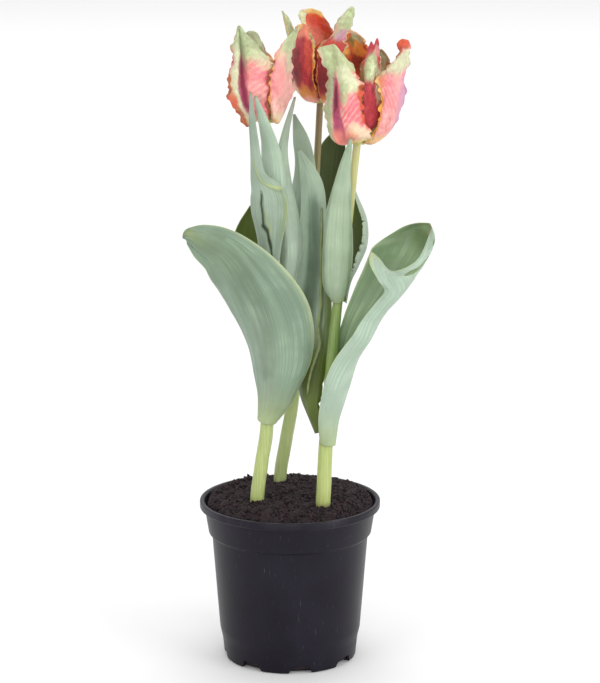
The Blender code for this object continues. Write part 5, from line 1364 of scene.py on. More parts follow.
def pot_finish(colour):
    """Black moulded plastic: satin, with fine flow lines round it and scuffs, and a paler grey towards the
    rim that is partly dusty and partly a painted highlight.
    """
    finish = Finish("pot_plastic", Roughness=0.36, Specular_IOR_Level=0.18)
    objects = finish.places()
    height = finish.height(objects)
    grain = finish.noise(objects, 1800.0, 3.0)
    clouds = finish.noise(objects, 28.0, 4.0)
    drawn = finish.noise(finish.stretched(objects, (160.0, 160.0, 9.0)), 1.0, 3.0)
    scratches = finish.noise(finish.stretched(objects, (900.0, 900.0, 60.0)), 1.0, 2.0, 1.0)
    body = finish.mix(finish.rise(clouds, 0.3, 0.7), shade(colour, 0.85), shade(colour, 1.3))
    body = finish.mix(finish.part(drawn, 0.5, 0.8, 0.3), body, shade(colour, 1.9))
    body = finish.mix(finish.part(scratches, 0.68, 0.75, 0.25), body, (0.12, 0.12, 0.14))
    # Paler grey over the top of the pot and its rim: partly dusty plastic, partly a painted highlight
    dust_and_highlight = finish.math("MULTIPLY", finish.rise(height, 0.099, 0.1075), finish.rise(clouds, 0.3, 0.75))
    body = finish.mix(finish.math("MULTIPLY", dust_and_highlight, 0.22), body, (0.14, 0.13, 0.15))
    roughness = finish.math("MULTIPLY_ADD", clouds, 0.2, 0.28)
    relief = finish.math("ADD", finish.math("MULTIPLY", grain, 0.35), finish.math("MULTIPLY", drawn, 0.65))
    return finish.wear(body, roughness, finish.bump(relief, 0.00012, 0.6))


def soil_finish(name, colour, brighter):
    """Moist peat: almost black, with brown fibres and a dull shine on the wet grains."""
    finish = Finish(name, Roughness=0.85)
    objects = finish.places()
    grains = finish.noise(objects, 700.0, 5.0)
    clods = finish.noise(objects, 160.0, 4.0)
    fibres = finish.noise(finish.stretched(objects, (300.0, 1500.0, 700.0)), 1.0, 3.0, 1.5)
    dark, pale = shade(colour, 0.5 * brighter), shade(colour, 1.3 * brighter)
    earth = finish.mix(finish.rise(clods, 0.3, 0.7), dark, pale)
    earth = finish.mix(finish.part(grains, 0.55, 0.75, 0.5), earth, shade(colour, 2.6 * brighter))
    earth = finish.mix(finish.part(fibres, 0.66, 0.74, 0.5), earth, (0.14, 0.085, 0.05))
    roughness = finish.math("MULTIPLY_ADD", grains, -0.35, 1.0)
    return finish.wear(earth, roughness, finish.bump(grains, 0.0012, 0.8))


def bulb_finish():
    finish = Finish("bulb_tunic", Roughness=0.5)
    objects = finish.places()
    strands = finish.noise(finish.stretched(objects, (260.0, 260.0, 30.0)), 1.0, 4.0)
    tunic = finish.mix(finish.rise(strands, 0.35, 0.7), (0.14, 0.055, 0.02), (0.40, 0.19, 0.07))
    return finish.wear(tunic, None, finish.bump(strands, 0.0006, 0.7))


def leaf_grid(stations, shares, sides):
    """The middle surface of a leaf: rows run from its foot to its tip, columns across it."""
    shares = np.asarray(shares, float)
    x, y, z, half_width, cup, facing, tilt = along(stations, shares).T
    step = 0.01
    ahead = unit((along(stations, shares + step) - along(stations, shares - step))[:, :3])
    facing, tilt = np.radians(facing), np.radians(tilt)
    cup = np.radians(np.maximum(cup, LEAST_CUP))[:, None]
    look = np.stack(
        [np.cos(tilt) * np.sin(facing), -np.cos(tilt) * np.cos(facing), np.sin(tilt)], -1
    )
    outward = unit(look - ahead * (look * ahead).sum(-1, keepdims=True))
    across = np.cross(ahead, outward)
    bend_radius = half_width[:, None] / cup
    sides = np.asarray(sides, float)[None, :]
    wave = np.sin(2 * math.pi * MARGIN_WAVES * shares[:, None] + MARGIN_LAG * sides)
    ripple = wave * MARGIN_WAVE * (half_width[:, None] / WAVED_WIDTH) * sides**4
    angle = (cup * sides)[..., None]
    spoke = outward[:, None] * np.cos(angle) + across[:, None] * np.sin(angle)
    centre = np.stack([x, y, z], -1) - outward * bend_radius
    return centre[:, None] + spoke * (bend_radius + ripple)[..., None]


def pleated(grid, depth, seed):
    """Adds the shallow pleats that run up a leaf, and the dents between them."""
    share, side = shares_of(grid)
    place = noise_places(side * 26, share * 5.0, seed * 3.7)
    relief = lumps(place, 2.2, seed) * 0.6 + lumps(place, 1.0, seed + 9) * 0.25
    dents = crumple(grid, 14.0, seed + 5, 2)
    fade = smooth(share, 0.0, 0.12) * (1 - 0.7 * smooth(share, 0.9, 1.0))
    return grid + outward_of(grid) * ((depth * relief + 0.35 * dents) * fade)[..., None]


def ragged(grid, depth, seed, side_sign, low, high):
    """Nibbles one margin of a leaf between two shares of its length, as where the wind tore it."""
    share, side = shares_of(grid)
    place = noise_places(share * 60, np.zeros((1, 1)), 0.0)
    bite = np.maximum(lumps(place, 1.0, seed) + 0.5 * lumps(place, 0.4, seed + 1), 0)
    bite = bite * smooth(share, low, low + 0.04) * smooth(share, high, high - 0.04)
    inwards = unit(grid[:, grid.shape[1] // 2][:, None] - grid)
    pull = depth * bite * smooth(side * side_sign, 0.7, 1.0)
    return grid + inwards * pull[..., None]


def make_leaves(thickness):
    for seed, (name, stations) in enumerate(LEAVES.items()):
        shares = np.linspace(0, 1, LEAF_ROWS * (len(stations) - 1) + 1)
        grid = leaf_grid(stations, shares, np.linspace(-1, 1, LEAF_COLUMNS))
        widest = max(station[3] for station in stations)
        grid = pleated(grid, 0.22 + 0.011 * widest, seed)
        if name == "right_wrapping_leaf":
            grid = ragged(grid, 4.0, 31, -1, 0.1, 0.75)
        if name == "right_tall_leaf":
            grid = ragged(grid, 2.2, 37, 1, 0.05, 0.35)
        make_blade(name, grid, thickness, seed)


def make_blade(name, grid, thickness, seed):
    """A leaf's blade, painted: yellow-green at its foot, and with its own washes."""
    share, side = shares_of(grid)
    outer, inner, foot = LEAF_TONES[name]
    washes = LEAF_WASHES.get(name, {})
    faces = []
    for face, tone in (("outer", outer), ("inner", inner)):
        foot_tone = LEAF_FOOT if face == "outer" else INNER_FOOT
        near_foot = np.broadcast_to(0.85 * smooth(share, 1.6 * foot, 0.0) ** 1.5, grid.shape[:2])
        colour = np.array(tone) + (np.array(foot_tone) - np.array(tone)) * near_foot[..., None]
        colour = washed(colour, washes.get(face, ()), share, side, seed, 1.35, 0.15)
        faces.append(stroked(colour, washes.get(face + "_strokes", ()), share, side))
    finish_piece(blade(name + "_blade", grid, thickness, leaf_finish(name), *faces), "leaf", name)


def filled(net, rows, columns):
    """A grid of rows by columns on the smooth surface through the points of a net."""
    grid = along(net, np.linspace(0, 1, rows)).transpose(1, 0, 2)
    return along(grid, np.linspace(0, 1, columns)).transpose(1, 0, 2)


def make_trumpet_leaf(thickness):
    last = len(TRUMPET_TUBE) - 1
    rows = leaf_grid(TRUMPET_TUBE, np.arange(last) / last, TRUMPET_SIDES)
    net = np.concatenate([rows, np.array(TRUMPET_MOUTH, float)])
    grid = filled(net, TRUMPET_ROWS, TRUMPET_COLUMNS)
    make_blade(TRUMPET_LEAF, pleated(grid, 0.35, 71), thickness, 71)


def seen(points):
    """Places, in millimetres, of points given as across, down the frame and depth."""
    points = np.asarray(points, float)
    tilt = math.radians(CAMERA_TILT)
    across = (points[..., 0] - PHOTO_WIDTH / 2) / FOCAL_PIXELS
    up = (PHOTO_HEIGHT / 2 - points[..., 1]) / FOCAL_PIXELS
    far = points[..., 2] - CAMERA_PLACE[1]
    rise = far * (up * math.cos(tilt) - math.sin(tilt)) / (math.cos(tilt) + up * math.sin(tilt))
    depth = far * math.cos(tilt) - rise * math.sin(tilt)
    return np.stack([CAMERA_PLACE[0] + across * depth, points[..., 2], CAMERA_PLACE[2] + rise], -1)


def seen_tepal(shape, seed, calm_side):
    """A tepal from its net, with its ruffles, fringe, feathered ribs and puckers."""
    net = seen(shape["net"])
    if shape.get("inside_out"):
        net = net[:, ::-1]
    grid = filled(net, SEEN_ROWS, SEEN_COLUMNS)
    share, side = shares_of(grid)
    body = np.sin(math.pi * np.minimum(share * 1.04, 1.0)) ** 0.6
    edge = smooth(np.abs(side), 0.5, 1.0) * body
    rim = smooth(np.abs(side), 0.8, 1.0) * body * np.where(np.sign(side) == calm_side, 0.22, 1.0)
    phase = seed + 2.0 * np.sign(side)
    wave = np.sin(2 * math.pi * 4.3 * share + phase) + 0.6 * np.sin(2 * math.pi * 9.7 * share + 2 * phase)
    place = noise_places(side * 9, share * 34, seed * 5.3)
    fringe = lumps(place, 1.5, seed) + 0.7 * lumps(place, 0.6, seed + 1)
    ribs = np.sin(2 * math.pi * (15 * share - 5.2 * np.abs(side)) + seed)
    ribs = ribs * smooth(np.abs(side), 0.1, 0.5) * body
    pucker = crumple(place, 4.5, seed + 3) * body
    across = unit(np.gradient(grid, axis=1)) * np.sign(side)[..., None]
    strong = 0.25 + 0.75 * smooth(lumps(place, 5.0, seed + 8), -0.5, 0.4)
    sway = 1.3 * lumps(place, 7.0, seed + 7) + 0.35 * lumps(place, 2.5, seed + 9)
    frills = np.sin(2 * math.pi * (11 * share + sway)) * rim * strong
    curl = smooth(np.abs(side), 0.86, 1.0) * body * smooth(lumps(place, 6.0, seed + 10), -0.5, 0.5)
    out = shape["ruffle"] * (0.70 * edge * wave + 0.55 * rim * fringe + 0.50 * frills + 0.7 * curl)
    out = out + 0.16 * ribs + 0.6 * pucker
    grid = grid + outward_of(grid) * out[..., None]
    return grid + across * (0.9 * rim * fringe + 0.30 * frills - 0.8 * curl)[..., None]


def share_of(shares, places):
    return along(np.array(shares)[:, None], places)[:, 0]


def tepal_grid(tepal, inner, seed):
    """The middle surface of a tepal about its flower's axis: ruffled, feathered and fringed."""
    azimuth, length, reach, half_width, tip_lean, groove = tepal
    out = -1.0 if inner else 1.0
    shares = np.linspace(0, 1, HIDDEN_ROWS)
    side = np.linspace(-1, 1, HIDDEN_COLUMNS)[None, :]
    radius = TEPAL_FOOT_RADIUS + (reach - TEPAL_FOOT_RADIUS) * share_of(REACH_SHARES, shares)
    radius = (radius + tip_lean * shares**4)[:, None]
    width = share_of(WIDTH_SHARES, shares)[:, None]
    share = shares[:, None]
    turn = side * half_width * width / radius
    edge = side**6 * np.sin(math.pi * np.minimum(share * 1.1, 1.0))
    wave = np.sin(2 * math.pi * RUFFLES * share + azimuth + 2.0 * side)
    middle = np.exp(-((np.degrees(turn) / GROOVE_HALF_ANGLE) ** 2))

    # What is finer than the solid: a fringe, small ruffles, feathered ribs and puckers
    body = np.sin(math.pi * np.minimum(share * 1.05, 1.0))
    place = noise_places(side * 9, share * 34, seed * 5.3)
    fringe = lumps(place, 1.5, seed) + 0.6 * lumps(place, 0.7, seed + 1)
    turn = turn * (1 + 0.075 * fringe * smooth(np.abs(side), 0.78, 1.0) * body)
    small = np.sin(2 * math.pi * 8.5 * share + 2.6 * azimuth + 3 * side) * np.abs(side) ** 5
    ribs = np.sin(2 * math.pi * (15 * share - 5.2 * np.abs(side)) + seed)
    pucker = crumple(place, 4.0, seed + 3)

    radius = radius + out * RUFFLE * edge * (0.5 + 0.5 * wave)
    radius = radius - out * groove * middle * np.sin(math.pi * share)
    radius = radius + out * body * (0.9 * small + 0.16 * ribs * smooth(np.abs(side), 0.1, 0.5))
    radius = radius + body * 0.55 * pucker * smooth(np.abs(side), 0.2, 0.8)
    height = (length * share_of(HEIGHT_SHARES, shares))[:, None] + RUFFLE_LIFT * edge * wave
    if inner:
        height = height + INNER_LIFT
    else:
        height = height - MARGIN_SAG * side**2 * np.sin(math.pi * np.minimum(share * 2.2, 1.0))
    height = height + 0.8 * body * small
    place = math.radians(azimuth) + turn
    return np.stack([radius * np.sin(place), -radius * np.cos(place), height], -1)


def flower_place(plant):
    """The flower's origin in millimetres and the turn of its axis."""
    x, y, z, _ = STEMS[plant][-1]
    forward, right = np.radians(FLOWERS[plant]["lean"])
    sine, cosine = math.sin(forward), math.cos(forward)
    about_x = np.array([[1, 0, 0], [0, cosine, -sine], [0, sine, cosine]])
    sine, cosine = math.sin(right), math.cos(right)
    about_y = np.array([[cosine, 0, sine], [0, 1, 0], [-sine, 0, cosine]])
    return np.array((x, y, z + GAP - HEART_FOOT)), about_y @ about_x


def make_tepals(thickness):
    for seed, (name, shape) in enumerate(SEEN_TEPALS.items()):
        make_tepal(name, seen_tepal(shape, seed, CALM_MARGINS.get(name, 0)), thickness, seed, shape)
    for plant, flower in FLOWERS.items():
        origin, turn = flower_place(plant)
        for seed, (name, tepal) in enumerate(flower["tepals"].items(), 20):
            grid = tepal_grid(tepal, name.startswith("inner"), seed) @ turn.T + origin
            make_tepal(f"{plant}_{name}", grid, thickness, seed, {})


def make_tepal(name, grid, thickness, seed, shape):
    """A tepal's blade, painted. Its paints are for the face that shows, which may be its inner one."""
    plant, layer = name.split("_")[:2]
    share, side = shares_of(grid)
    paints = PAINTS.get(name, HIDDEN_PAINTS[plant])
    is_inside_out = shape.get("inside_out", False)
    shown_side = -side if is_inside_out else side
    near = painted(paints, share, shown_side, seed)
    far = painted(paints.get("far", FAR_PAINTS[plant]), share, shown_side, seed + 1)
    faces = (far, near) if is_inside_out else (near, far)
    piece = blade(name + "_blade", grid, thickness, tepal_finish(name, seed), *faces)
    finish_piece(piece, f"{layer}_tepal", name)


def make_hearts():
    for plant in FLOWERS:
        origin, turn = flower_place(plant)
        rows = along(PISTIL, np.linspace(0, 1, PISTIL_ROWS))
        path = np.stack([0 * rows[:, 0], 0 * rows[:, 0], rows[:, 1], rows[:, 0]], -1)
        rings = tube(path, PISTIL_SIDES)
        around = np.linspace(0, 2 * math.pi, PISTIL_SIDES, endpoint=False)[None, :, None]
        rings[..., :2] *= 1 + 0.16 * smooth(rings[..., 2:3], 19.5, 22.5) * np.cos(3 * around)
        skin = heart_finish(f"{plant}_pistil", (0.42, 0.46, 0.14), (0.66, 0.64, 0.26), 500.0)
        points = rings.reshape(-1, 3) @ turn.T + origin
        pistil = plain_mesh(f"{plant}_pistil", points, closed_rings(rings), [skin], 50)
        finish_piece(pistil, "flower_heart", f"{plant}_flower_heart")
        make_stamens(plant, origin, turn)


def make_stamens(plant, origin, turn):
    pale = heart_finish(f"{plant}_filament", (0.55, 0.50, 0.20), (0.75, 0.70, 0.36), 600.0)
    dark = heart_finish(f"{plant}_anther", (0.020, 0.010, 0.014), (0.11, 0.07, 0.05), 1500.0)
    for part, stations, finish in (("filaments", FILAMENT, pale), ("anthers", ANTHER, dark)):
        points = []
        faces = []
        for number in range(STAMENS):
            angle = 2 * math.pi * (number + 0.5) / STAMENS
            distance, height, radius = along(stations, np.linspace(0, 1, STAMEN_ROWS)).T
            path = np.stack([distance * math.cos(angle), distance * math.sin(angle), height, radius], -1)
            rings = tube(path, STAMEN_SIDES)
            faces += [tuple(len(points) + corner for corner in face) for face in closed_rings(rings)]
            points += list(rings.reshape(-1, 3) @ turn.T + origin)
        finish_piece(plain_mesh(f"{plant}_{part}", points, faces, [finish], 50), "flower_heart")


def make_stems():
    for seed, (plant, stations) in enumerate(STEMS.items()):
        shares = np.linspace(0, 1, STEM_ROWS)
        path = along(stations, shares)
        rings = tube(path, STEM_SIDES)
        centre = path[:, None, :3]
        spoke = rings - centre
        around = np.linspace(0, 2 * math.pi, STEM_SIDES, endpoint=False)[None, :, None]
        grooves = 1 + 0.014 * np.sin(9 * around + 3 * shares[:, None, None])
        dents = 1 + 0.02 * crumple(rings, 9.0, 80 + seed, 2)[..., None]
        rings = centre + spoke * grooves * dents
        name = f"{plant}_stem"
        finish = stem_finish(name, STEM_TONES[plant], 0.112, path[-1, 2] * MM)
        piece = plain_mesh(name + "_stalk", rings.reshape(-1, 3), closed_rings(rings), [finish], 60)
        finish_piece(piece, "stem", name)


def rounded(outline, radius, steps=5):
    """The (radius, height) outline with each inner corner rounded."""
    outline = np.asarray(outline, float)
    out = [outline[0]]
    for before, here, after in zip(outline, outline[1:], outline[2:]):
        back = before - here
        forth = after - here
        reach = min(radius, 0.45 * np.linalg.norm(back), 0.45 * np.linalg.norm(forth))
        start = here + unit(back) * reach
        end = here + unit(forth) * reach
        for step in range(steps + 1):
            part = step / steps
            out.append((1 - part) ** 2 * start + 2 * part * (1 - part) * here + part**2 * end)
    out.append(outline[-1])
    return np.array(out)


def pot_outline():
    """(radius, height) from the inside of the floor, up, over the rim and down to the underside."""
    rim_foot = POT_HEIGHT - RIM_DROP
    edge = 0.8
    return (
        (0.0, FLOOR),
        (FOOT_RADIUS - WALL, FLOOR),
        (FOOT_TOP_RADIUS - WALL, FOOT_TOP_Z),
        (BODY_FOOT_RADIUS - WALL, BODY_FOOT_Z),
        (BODY_TOP_RADIUS - WALL, COLLAR_FOOT_Z - edge),
        (COLLAR_FOOT_RADIUS - WALL, COLLAR_FOOT_Z + edge),
        (COLLAR_TOP_RADIUS - WALL, rim_foot),
        (RIM_RADIUS - RIM_WALL - edge, POT_HEIGHT - edge),
        (RIM_RADIUS - RIM_WALL, POT_HEIGHT),
        (RIM_RADIUS, POT_HEIGHT),
        (RIM_RADIUS, rim_foot),
        (COLLAR_TOP_RADIUS, rim_foot - edge / 2),
        (COLLAR_FOOT_RADIUS, COLLAR_FOOT_Z + edge),
        (COLLAR_FOOT_RADIUS - edge, COLLAR_FOOT_Z),
        (BODY_TOP_RADIUS, COLLAR_FOOT_Z - edge),
        (BODY_FOOT_RADIUS, BODY_FOOT_Z),
        (FOOT_TOP_RADIUS, FOOT_TOP_Z),
        (FOOT_RADIUS, 0.0),
        (0.0, 0.0),
    )


def turned(name, outline, segments, finish):
    """A closed solid turned about Z from an outline that starts and ends on the axis."""
    outline = np.asarray(outline, float)
    ring_rows = outline[1:-1]
    angle = np.linspace(0, 2 * math.pi, segments, endpoint=False)[None, :, None]
    radius, height = ring_rows[:, None, :1], ring_rows[:, None, 1:]
    rings = np.concatenate(
        [radius * np.cos(angle), radius * np.sin(angle), height + 0 * angle], -1
    )
    count = rings.shape[0] * segments
    points = np.concatenate(
        [rings.reshape(-1, 3), [(0, 0, outline[0, 1]), (0, 0, outline[-1, 1])]]
    )
    faces = closed_rings(rings)[:-2]
    for side in range(segments):
        after = (side + 1) % segments
        faces.append((count, after, side))
        faces.append((count + 1, count - segments + side, count - segments + after))
    piece = plain_mesh(name, points, faces, [finish], 40)
    face_out(piece)
    return piece


def face_out(piece):
    cleaner = bmesh.new()
    cleaner.from_mesh(piece.data)
    bmesh.ops.recalc_face_normals(cleaner, faces=cleaner.faces)
    cleaner.to_mesh(piece.data)
    cleaner.free()


def notch_cutter():
    """Eight wedges round the foot of the pot."""
    section = (
        (-NOTCH_FOOT_WIDTH / 2, NOTCH_FOOT_Z),
        (NOTCH_FOOT_WIDTH / 2, NOTCH_FOOT_Z),
        (NOTCH_TOP_WIDTH / 2, NOTCH_HEIGHT),
        (-NOTCH_TOP_WIDTH / 2, NOTCH_HEIGHT),
    )
    points = []
    faces = []
    for notch in range(NOTCHES):
        turn = math.radians(NOTCH_FIRST_ANGLE + notch * 360 / NOTCHES)
        across = np.array((math.cos(turn), math.sin(turn), 0.0))
        outward = np.array((math.sin(turn), -math.cos(turn), 0.0))
        first = len(points)
        rings = np.array(
            [
                [
                    outward * distance + across * half + np.array((0, 0, height))
                    for half, height in section
                ]
                for distance in (NOTCH_OUTER_RADIUS, NOTCH_INNER_RADIUS)
            ]
        )
        points += list(rings.reshape(-1, 3))
        faces += [tuple(first + corner for corner in face) for face in closed_rings(rings)]
    cutter = plain_mesh("notch_cutter", points, faces, [])
    face_out(cutter)
    return cutter


def applied(piece):
    """The piece with its modifiers applied, as a plain mesh."""
    graph = bpy.context.evaluated_depsgraph_get()
    mesh = bpy.data.meshes.new_from_object(piece.evaluated_get(graph))
    piece.modifiers.clear()
    piece.data = mesh
    return piece


def make_pot(colour):
    outline = rounded(pot_outline(), 1.1)
    pot = turned("nursery_pot", outline, POT_SEGMENTS, pot_finish(colour))
    cutter = notch_cutter()
    notches = pot.modifiers.new("notches", "BOOLEAN")
    notches.operation = "DIFFERENCE"
    notches.solver = "EXACT"
    notches.object = cutter
    applied(pot)
    bpy.data.objects.remove(cutter)
    pot.data.shade_smooth()
    pot.data.set_sharp_from_angle(angle=math.radians(35))
    finish_piece(pot, "pot", "pot")


def soil_height(x, y):
    radius = np.hypot(x, y)
    shoulder = np.clip((radius - SOIL_SHOULDER_RADIUS) / SOIL_SHOULDER_WIDTH, 0, 1)
    waves = sum(share * np.sin(a * x + b * y + phase) for a, b, phase, share in SOIL_WAVES)
    return (
        SOIL_TOP
        - SOIL_FALL * (radius / SOIL_SHOULDER_RADIUS) ** 2
        - SOIL_SHOULDER_DROP * shoulder**2
        + SOIL_LUMP * waves * (1 - 0.6 * shoulder)
    )


def make_soil(colour):
    """The crumbly mound, with its side and underside hidden in the pot."""
    radii = np.linspace(0.6, SOIL_EDGE, MOUND_RINGS)
    angle = np.linspace(0, 2 * math.pi, MOUND_SEGMENTS, endpoint=False)
    x = radii[:, None] * np.cos(angle)
    y = radii[:, None] * np.sin(angle)
    z = soil_height(x, y)
    place = np.stack([x, y, z * 0], -1)
    z = z + 0.9 * crumple(place, 7.0, 3, 2) + 0.8 * np.abs(lumps(place, 2.6, 17))
    z = z + 0.5 * lumps(place, 1.3, 23)
    top = np.stack([x, y, z], -1)
    sides = (*SOIL_SIDE, (SOIL_FOOT_RADIUS, FLOOR + GAP))
    walls = np.array(
        [
            [(radius * math.cos(a), radius * math.sin(a), height) for a in angle]
            for radius, height in sides
        ]
    )
    rings = np.concatenate([top, walls])
    piece = plain_mesh(
        "soil_mound", rings.reshape(-1, 3), closed_rings(rings), [soil_finish("peat", colour, 1.0)]
    )
    face_out(piece)
    finish_piece(piece, "soil", "soil")


def crumb_tree(count, size, finish):
    """Geometry nodes that lay crumbs on a surface: named inputs, a fixed seed, real meshes at the end."""
    tree = bpy.data.node_groups.new("Scatter crumbs", "GeometryNodeTree")
    tree.interface.new_socket("Geometry", in_out="INPUT", socket_type="NodeSocketGeometry")
    named = (("Crumbs", "Int", count), ("Crumb size", "Float", size), ("Seed", "Int", CRUMB_SEED))
    identifiers = {}
    for name, kind, value in named:
        socket = tree.interface.new_socket(name, in_out="INPUT", socket_type=f"NodeSocket{kind}")
        socket.default_value = value
        identifiers[name] = socket.identifier
    tree.interface.new_socket("Geometry", in_out="OUTPUT", socket_type="NodeSocketGeometry")

    def add(kind, inputs=None, **settings):
        node = tree.nodes.new(kind)
        for name, value in settings.items():
            setattr(node, name, value)
        for name, value in (inputs or {}).items():
            node.inputs[name].default_value = value
        return node

    source, result = add("NodeGroupInput"), add("NodeGroupOutput")
    scatter = add("GeometryNodeDistributePointsOnFaces")
    ball = add("GeometryNodeMeshIcoSphere", {"Subdivisions": 2})
    lumpy = add("GeometryNodeSetPosition")
    noise = add("ShaderNodeTexNoise", {"Scale": 1.1})
    centre = add("ShaderNodeVectorMath", {1: (0.5, 0.5, 0.5)}, operation="SUBTRACT")
    push = add("ShaderNodeVectorMath", {"Scale": 1.5}, operation="SCALE")
    lay = add("GeometryNodeInstanceOnPoints")
    turn = add("FunctionNodeRandomValue", {"Max": (6.28, 6.28, 6.28)}, data_type="FLOAT_VECTOR")
    spread = {"Min": (0.35, 0.35, 0.3), "Max": (1.5, 1.1, 0.9)}
    grow = add("FunctionNodeRandomValue", spread, data_type="FLOAT_VECTOR")
    sized = add("ShaderNodeVectorMath", operation="SCALE")
    bed_area = math.pi * (SOIL_EDGE * MM) ** 2
    density = add("ShaderNodeMath", {1: bed_area}, operation="DIVIDE")
    real = add("GeometryNodeRealizeInstances")
    smooth_faces = add("GeometryNodeSetShadeSmooth")
    paint = add("GeometryNodeSetMaterial", {"Material": finish})
    for start, output, end, entry in (
        (source, "Geometry", scatter, "Mesh"),
        (source, "Crumbs", density, 0),
        (density, 0, scatter, "Density"),
        (source, "Seed", scatter, "Seed"),
        (source, "Seed", turn, "Seed"),
        (source, "Seed", grow, "Seed"),
        (ball, "Mesh", lumpy, "Geometry"),
        (noise, "Color", centre, 0),
        (centre, 0, push, 0),
        (push, 0, lumpy, "Offset"),
        (scatter, "Points", lay, "Points"),
        (lumpy, "Geometry", lay, "Instance"),
        (turn, 0, lay, "Rotation"),
        (grow, 0, sized, 0),
        (source, "Crumb size", sized, "Scale"),
        (sized, 0, lay, "Scale"),
        (lay, "Instances", real, "Geometry"),
        (real, "Geometry", smooth_faces, "Geometry"),
        (smooth_faces, "Geometry", paint, "Geometry"),
        (paint, "Geometry", result, "Geometry"),
    ):
        tree.links.new(start.outputs[output], end.inputs[entry])
    return tree, identifiers


def make_crumbs(count, size, colour):
    """Loose crumbs and bits of bark on the mound."""
    radii = np.linspace(1.0, SOIL_EDGE - 1.0, CRUMB_BED_RINGS)
    angle = np.linspace(0, 2 * math.pi, CRUMB_BED_SEGMENTS, endpoint=False)
    x = radii[:, None] * np.cos(angle)
    y = radii[:, None] * np.sin(angle)
    top = np.stack([x, y, soil_height(x, y) + 0.5], -1)
    finish = soil_finish("peat_crumbs", colour, 1.35)
    ground = plain_mesh("soil_crumbs", top.reshape(-1, 3), closed_rings(top)[:-2], [finish])
    face_out(ground)
    tree, sockets = crumb_tree(count, size, finish)
    scatter = ground.modifiers.new("crumbs", "NODES")
    scatter.node_group = tree
    scatter[sockets["Crumbs"]] = count
    scatter[sockets["Crumb size"]] = size
    scatter[sockets["Seed"]] = CRUMB_SEED
    applied(ground)
    if not ground.data.polygons:
        raise RuntimeError("no crumbs were laid on the soil")
    finish_piece(ground, "soil")


def make_bulbs():
    finish = bulb_finish()
    for plant in STEMS:
        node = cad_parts[f"{plant}_bulb"]
        node.data.materials.clear()
        node.data.materials.append(finish)


def area_light(name, place, aim, size, power):
    data = bpy.data.lights.new(name, "AREA")
    data.shape = "RECTANGLE"
    data.size, data.size_y = size
    data.energy = power
    lamp = link(data, name)
    place, aim = np.array(place), np.array(aim)
    lamp.location = place
    way = aim - place
    level = math.hypot(way[0], way[1])
    lamp.rotation_euler = (math.atan2(level, -way[2]), 0.0, math.atan2(-way[0], way[1]))


def make_stage(floor_colour):
    finish = Finish("studio_floor", Roughness=0.9)
    grain = finish.noise(finish.places(), 35.0, 3.0)
    tone = finish.mix(grain, shade(tuple(floor_colour), 0.985), tuple(floor_colour))
    mesh = bpy.data.meshes.new("studio_floor")
    corners = ((-1, -1), (1, -1), (1, 1), (-1, 1))
    points = [(x * FLOOR_HALF, y * FLOOR_HALF, FLOOR_HEIGHT) for x, y in corners]
    mesh.from_pydata(points, [], [(0, 1, 2, 3)])
    mesh.materials.append(finish.wear(tone))
    link(mesh, "studio_floor")

    world = bpy.data.worlds.new("studio")
    bpy.context.scene.world = world
    world.use_nodes = True
    backdrop = world.node_tree.nodes["Background"]
    backdrop.inputs["Color"].default_value = (1.0, 1.0, 1.0, 1.0)
    backdrop.inputs["Strength"].default_value = BACKDROP_STRENGTH
    for light in LIGHTS:
        area_light(*light)

    data = bpy.data.cameras.new("camera")
    camera = link(data, "camera")
    camera.location = [length * MM for length in CAMERA_PLACE]
    camera.rotation_euler = (math.radians(90 - CAMERA_TILT), 0.0, 0.0)
    data.sensor_width = SENSOR
    data.lens = FOCAL_PIXELS / PHOTO_HEIGHT * SENSOR
    data.clip_start, data.clip_end = CLIP_START, CLIP_END
    bpy.context.scene.camera = camera
    bpy.context.scene.view_settings.view_transform = "Standard"
    bpy.context.scene.view_settings.look = "None"


class TULIP_OT_pot(bpy.types.Operator):
    """Makes the nursery pot"""

    bl_idname = "tulip.pot"
    bl_label = "Pot"

    def execute(self, context):
        make_pot(tuple(context.scene.tulip_colours.pot))
        return {"FINISHED"}


class TULIP_OT_soil(bpy.types.Operator):
    """Makes the soil and the crumbs that lie on it"""

    bl_idname = "tulip.soil"
    bl_label = "Soil"

    def execute(self, context):
        colour = tuple(context.scene.tulip_colours.soil)
        sizes = context.scene.tulip_sizes
        make_soil(colour)
        make_crumbs(sizes.crumbs, sizes.crumb_size, colour)
        return {"FINISHED"}


class TULIP_OT_bulbs(bpy.types.Operator):
    """Gives the bulbs in the soil their papery skin"""

    bl_idname = "tulip.bulbs"
    bl_label = "Bulbs"

    def execute(self, context):
        make_bulbs()
        return {"FINISHED"}


class TULIP_OT_stems(bpy.types.Operator):
    """Makes the three flower stems"""

    bl_idname = "tulip.stems"
    bl_label = "Stems"

    def execute(self, context):
        make_stems()
        return {"FINISHED"}


class TULIP_OT_leaves(bpy.types.Operator):
    """Makes the leaves, the one rolled into a trumpet among them"""

    bl_idname = "tulip.leaves"
    bl_label = "Leaves"

    def execute(self, context):
        thickness = context.scene.tulip_sizes.leaf_thickness / MM
        make_leaves(thickness)
        make_trumpet_leaf(thickness)
        return {"FINISHED"}


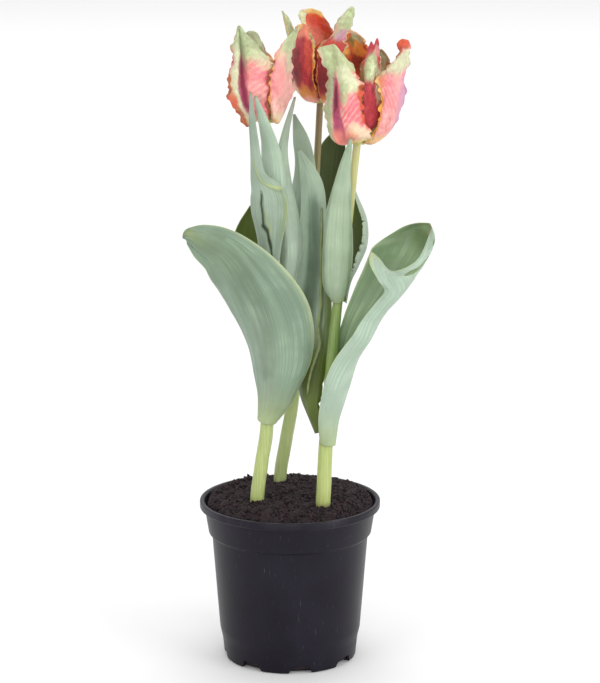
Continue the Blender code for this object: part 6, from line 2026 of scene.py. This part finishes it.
class TULIP_OT_tepals(bpy.types.Operator):
    """Makes the ruffled tepals of the three blooms"""

    bl_idname = "tulip.tepals"
    bl_label = "Tepals"

    def execute(self, context):
        make_tepals(context.scene.tulip_sizes.tepal_thickness / MM)
        return {"FINISHED"}


class TULIP_OT_hearts(bpy.types.Operator):
    """Makes the pistil and the stamens of each bloom"""

    bl_idname = "tulip.hearts"
    bl_label = "Flower hearts"

    def execute(self, context):
        make_hearts()
        return {"FINISHED"}


class TULIP_OT_stage(bpy.types.Operator):
    """Makes the floor, the lights and the camera"""

    bl_idname = "tulip.stage"
    bl_label = "Stage"

    def execute(self, context):
        make_stage(tuple(context.scene.tulip_colours.floor))
        return {"FINISHED"}


MAKERS = (
    TULIP_OT_pot,
    TULIP_OT_soil,
    TULIP_OT_bulbs,
    TULIP_OT_stems,
    TULIP_OT_leaves,
    TULIP_OT_tepals,
    TULIP_OT_hearts,
    TULIP_OT_stage,
)


class TULIP_PT_panel(bpy.types.Panel):
    bl_idname = "TULIP_PT_panel"
    bl_label = "Potted parrot tulips"
    bl_space_type = "VIEW_3D"
    bl_region_type = "UI"
    bl_category = "Tulips"

    def draw(self, context):
        for group in (context.scene.tulip_sizes, context.scene.tulip_colours):
            for name in group.bl_rna.properties.keys():
                if name not in ("rna_type", "name"):
                    self.layout.prop(group, name)
        for maker in MAKERS:
            self.layout.operator(maker.bl_idname)


CLASSES = (TulipSizes, TulipColours, *MAKERS, TULIP_PT_panel)


def register():
    for found in CLASSES:
        bpy.utils.register_class(found)
    bpy.types.Scene.tulip_sizes = bpy.props.PointerProperty(type=TulipSizes)
    bpy.types.Scene.tulip_colours = bpy.props.PointerProperty(type=TulipColours)


def unregister():
    del bpy.types.Scene.tulip_sizes
    del bpy.types.Scene.tulip_colours
    for found in reversed(CLASSES):
        bpy.utils.unregister_class(found)


def main():
    register()
    for maker in MAKERS:
        group, name = maker.bl_idname.split(".")
        getattr(getattr(bpy.ops, group), name)()


if __name__ == "__main__":
    main()
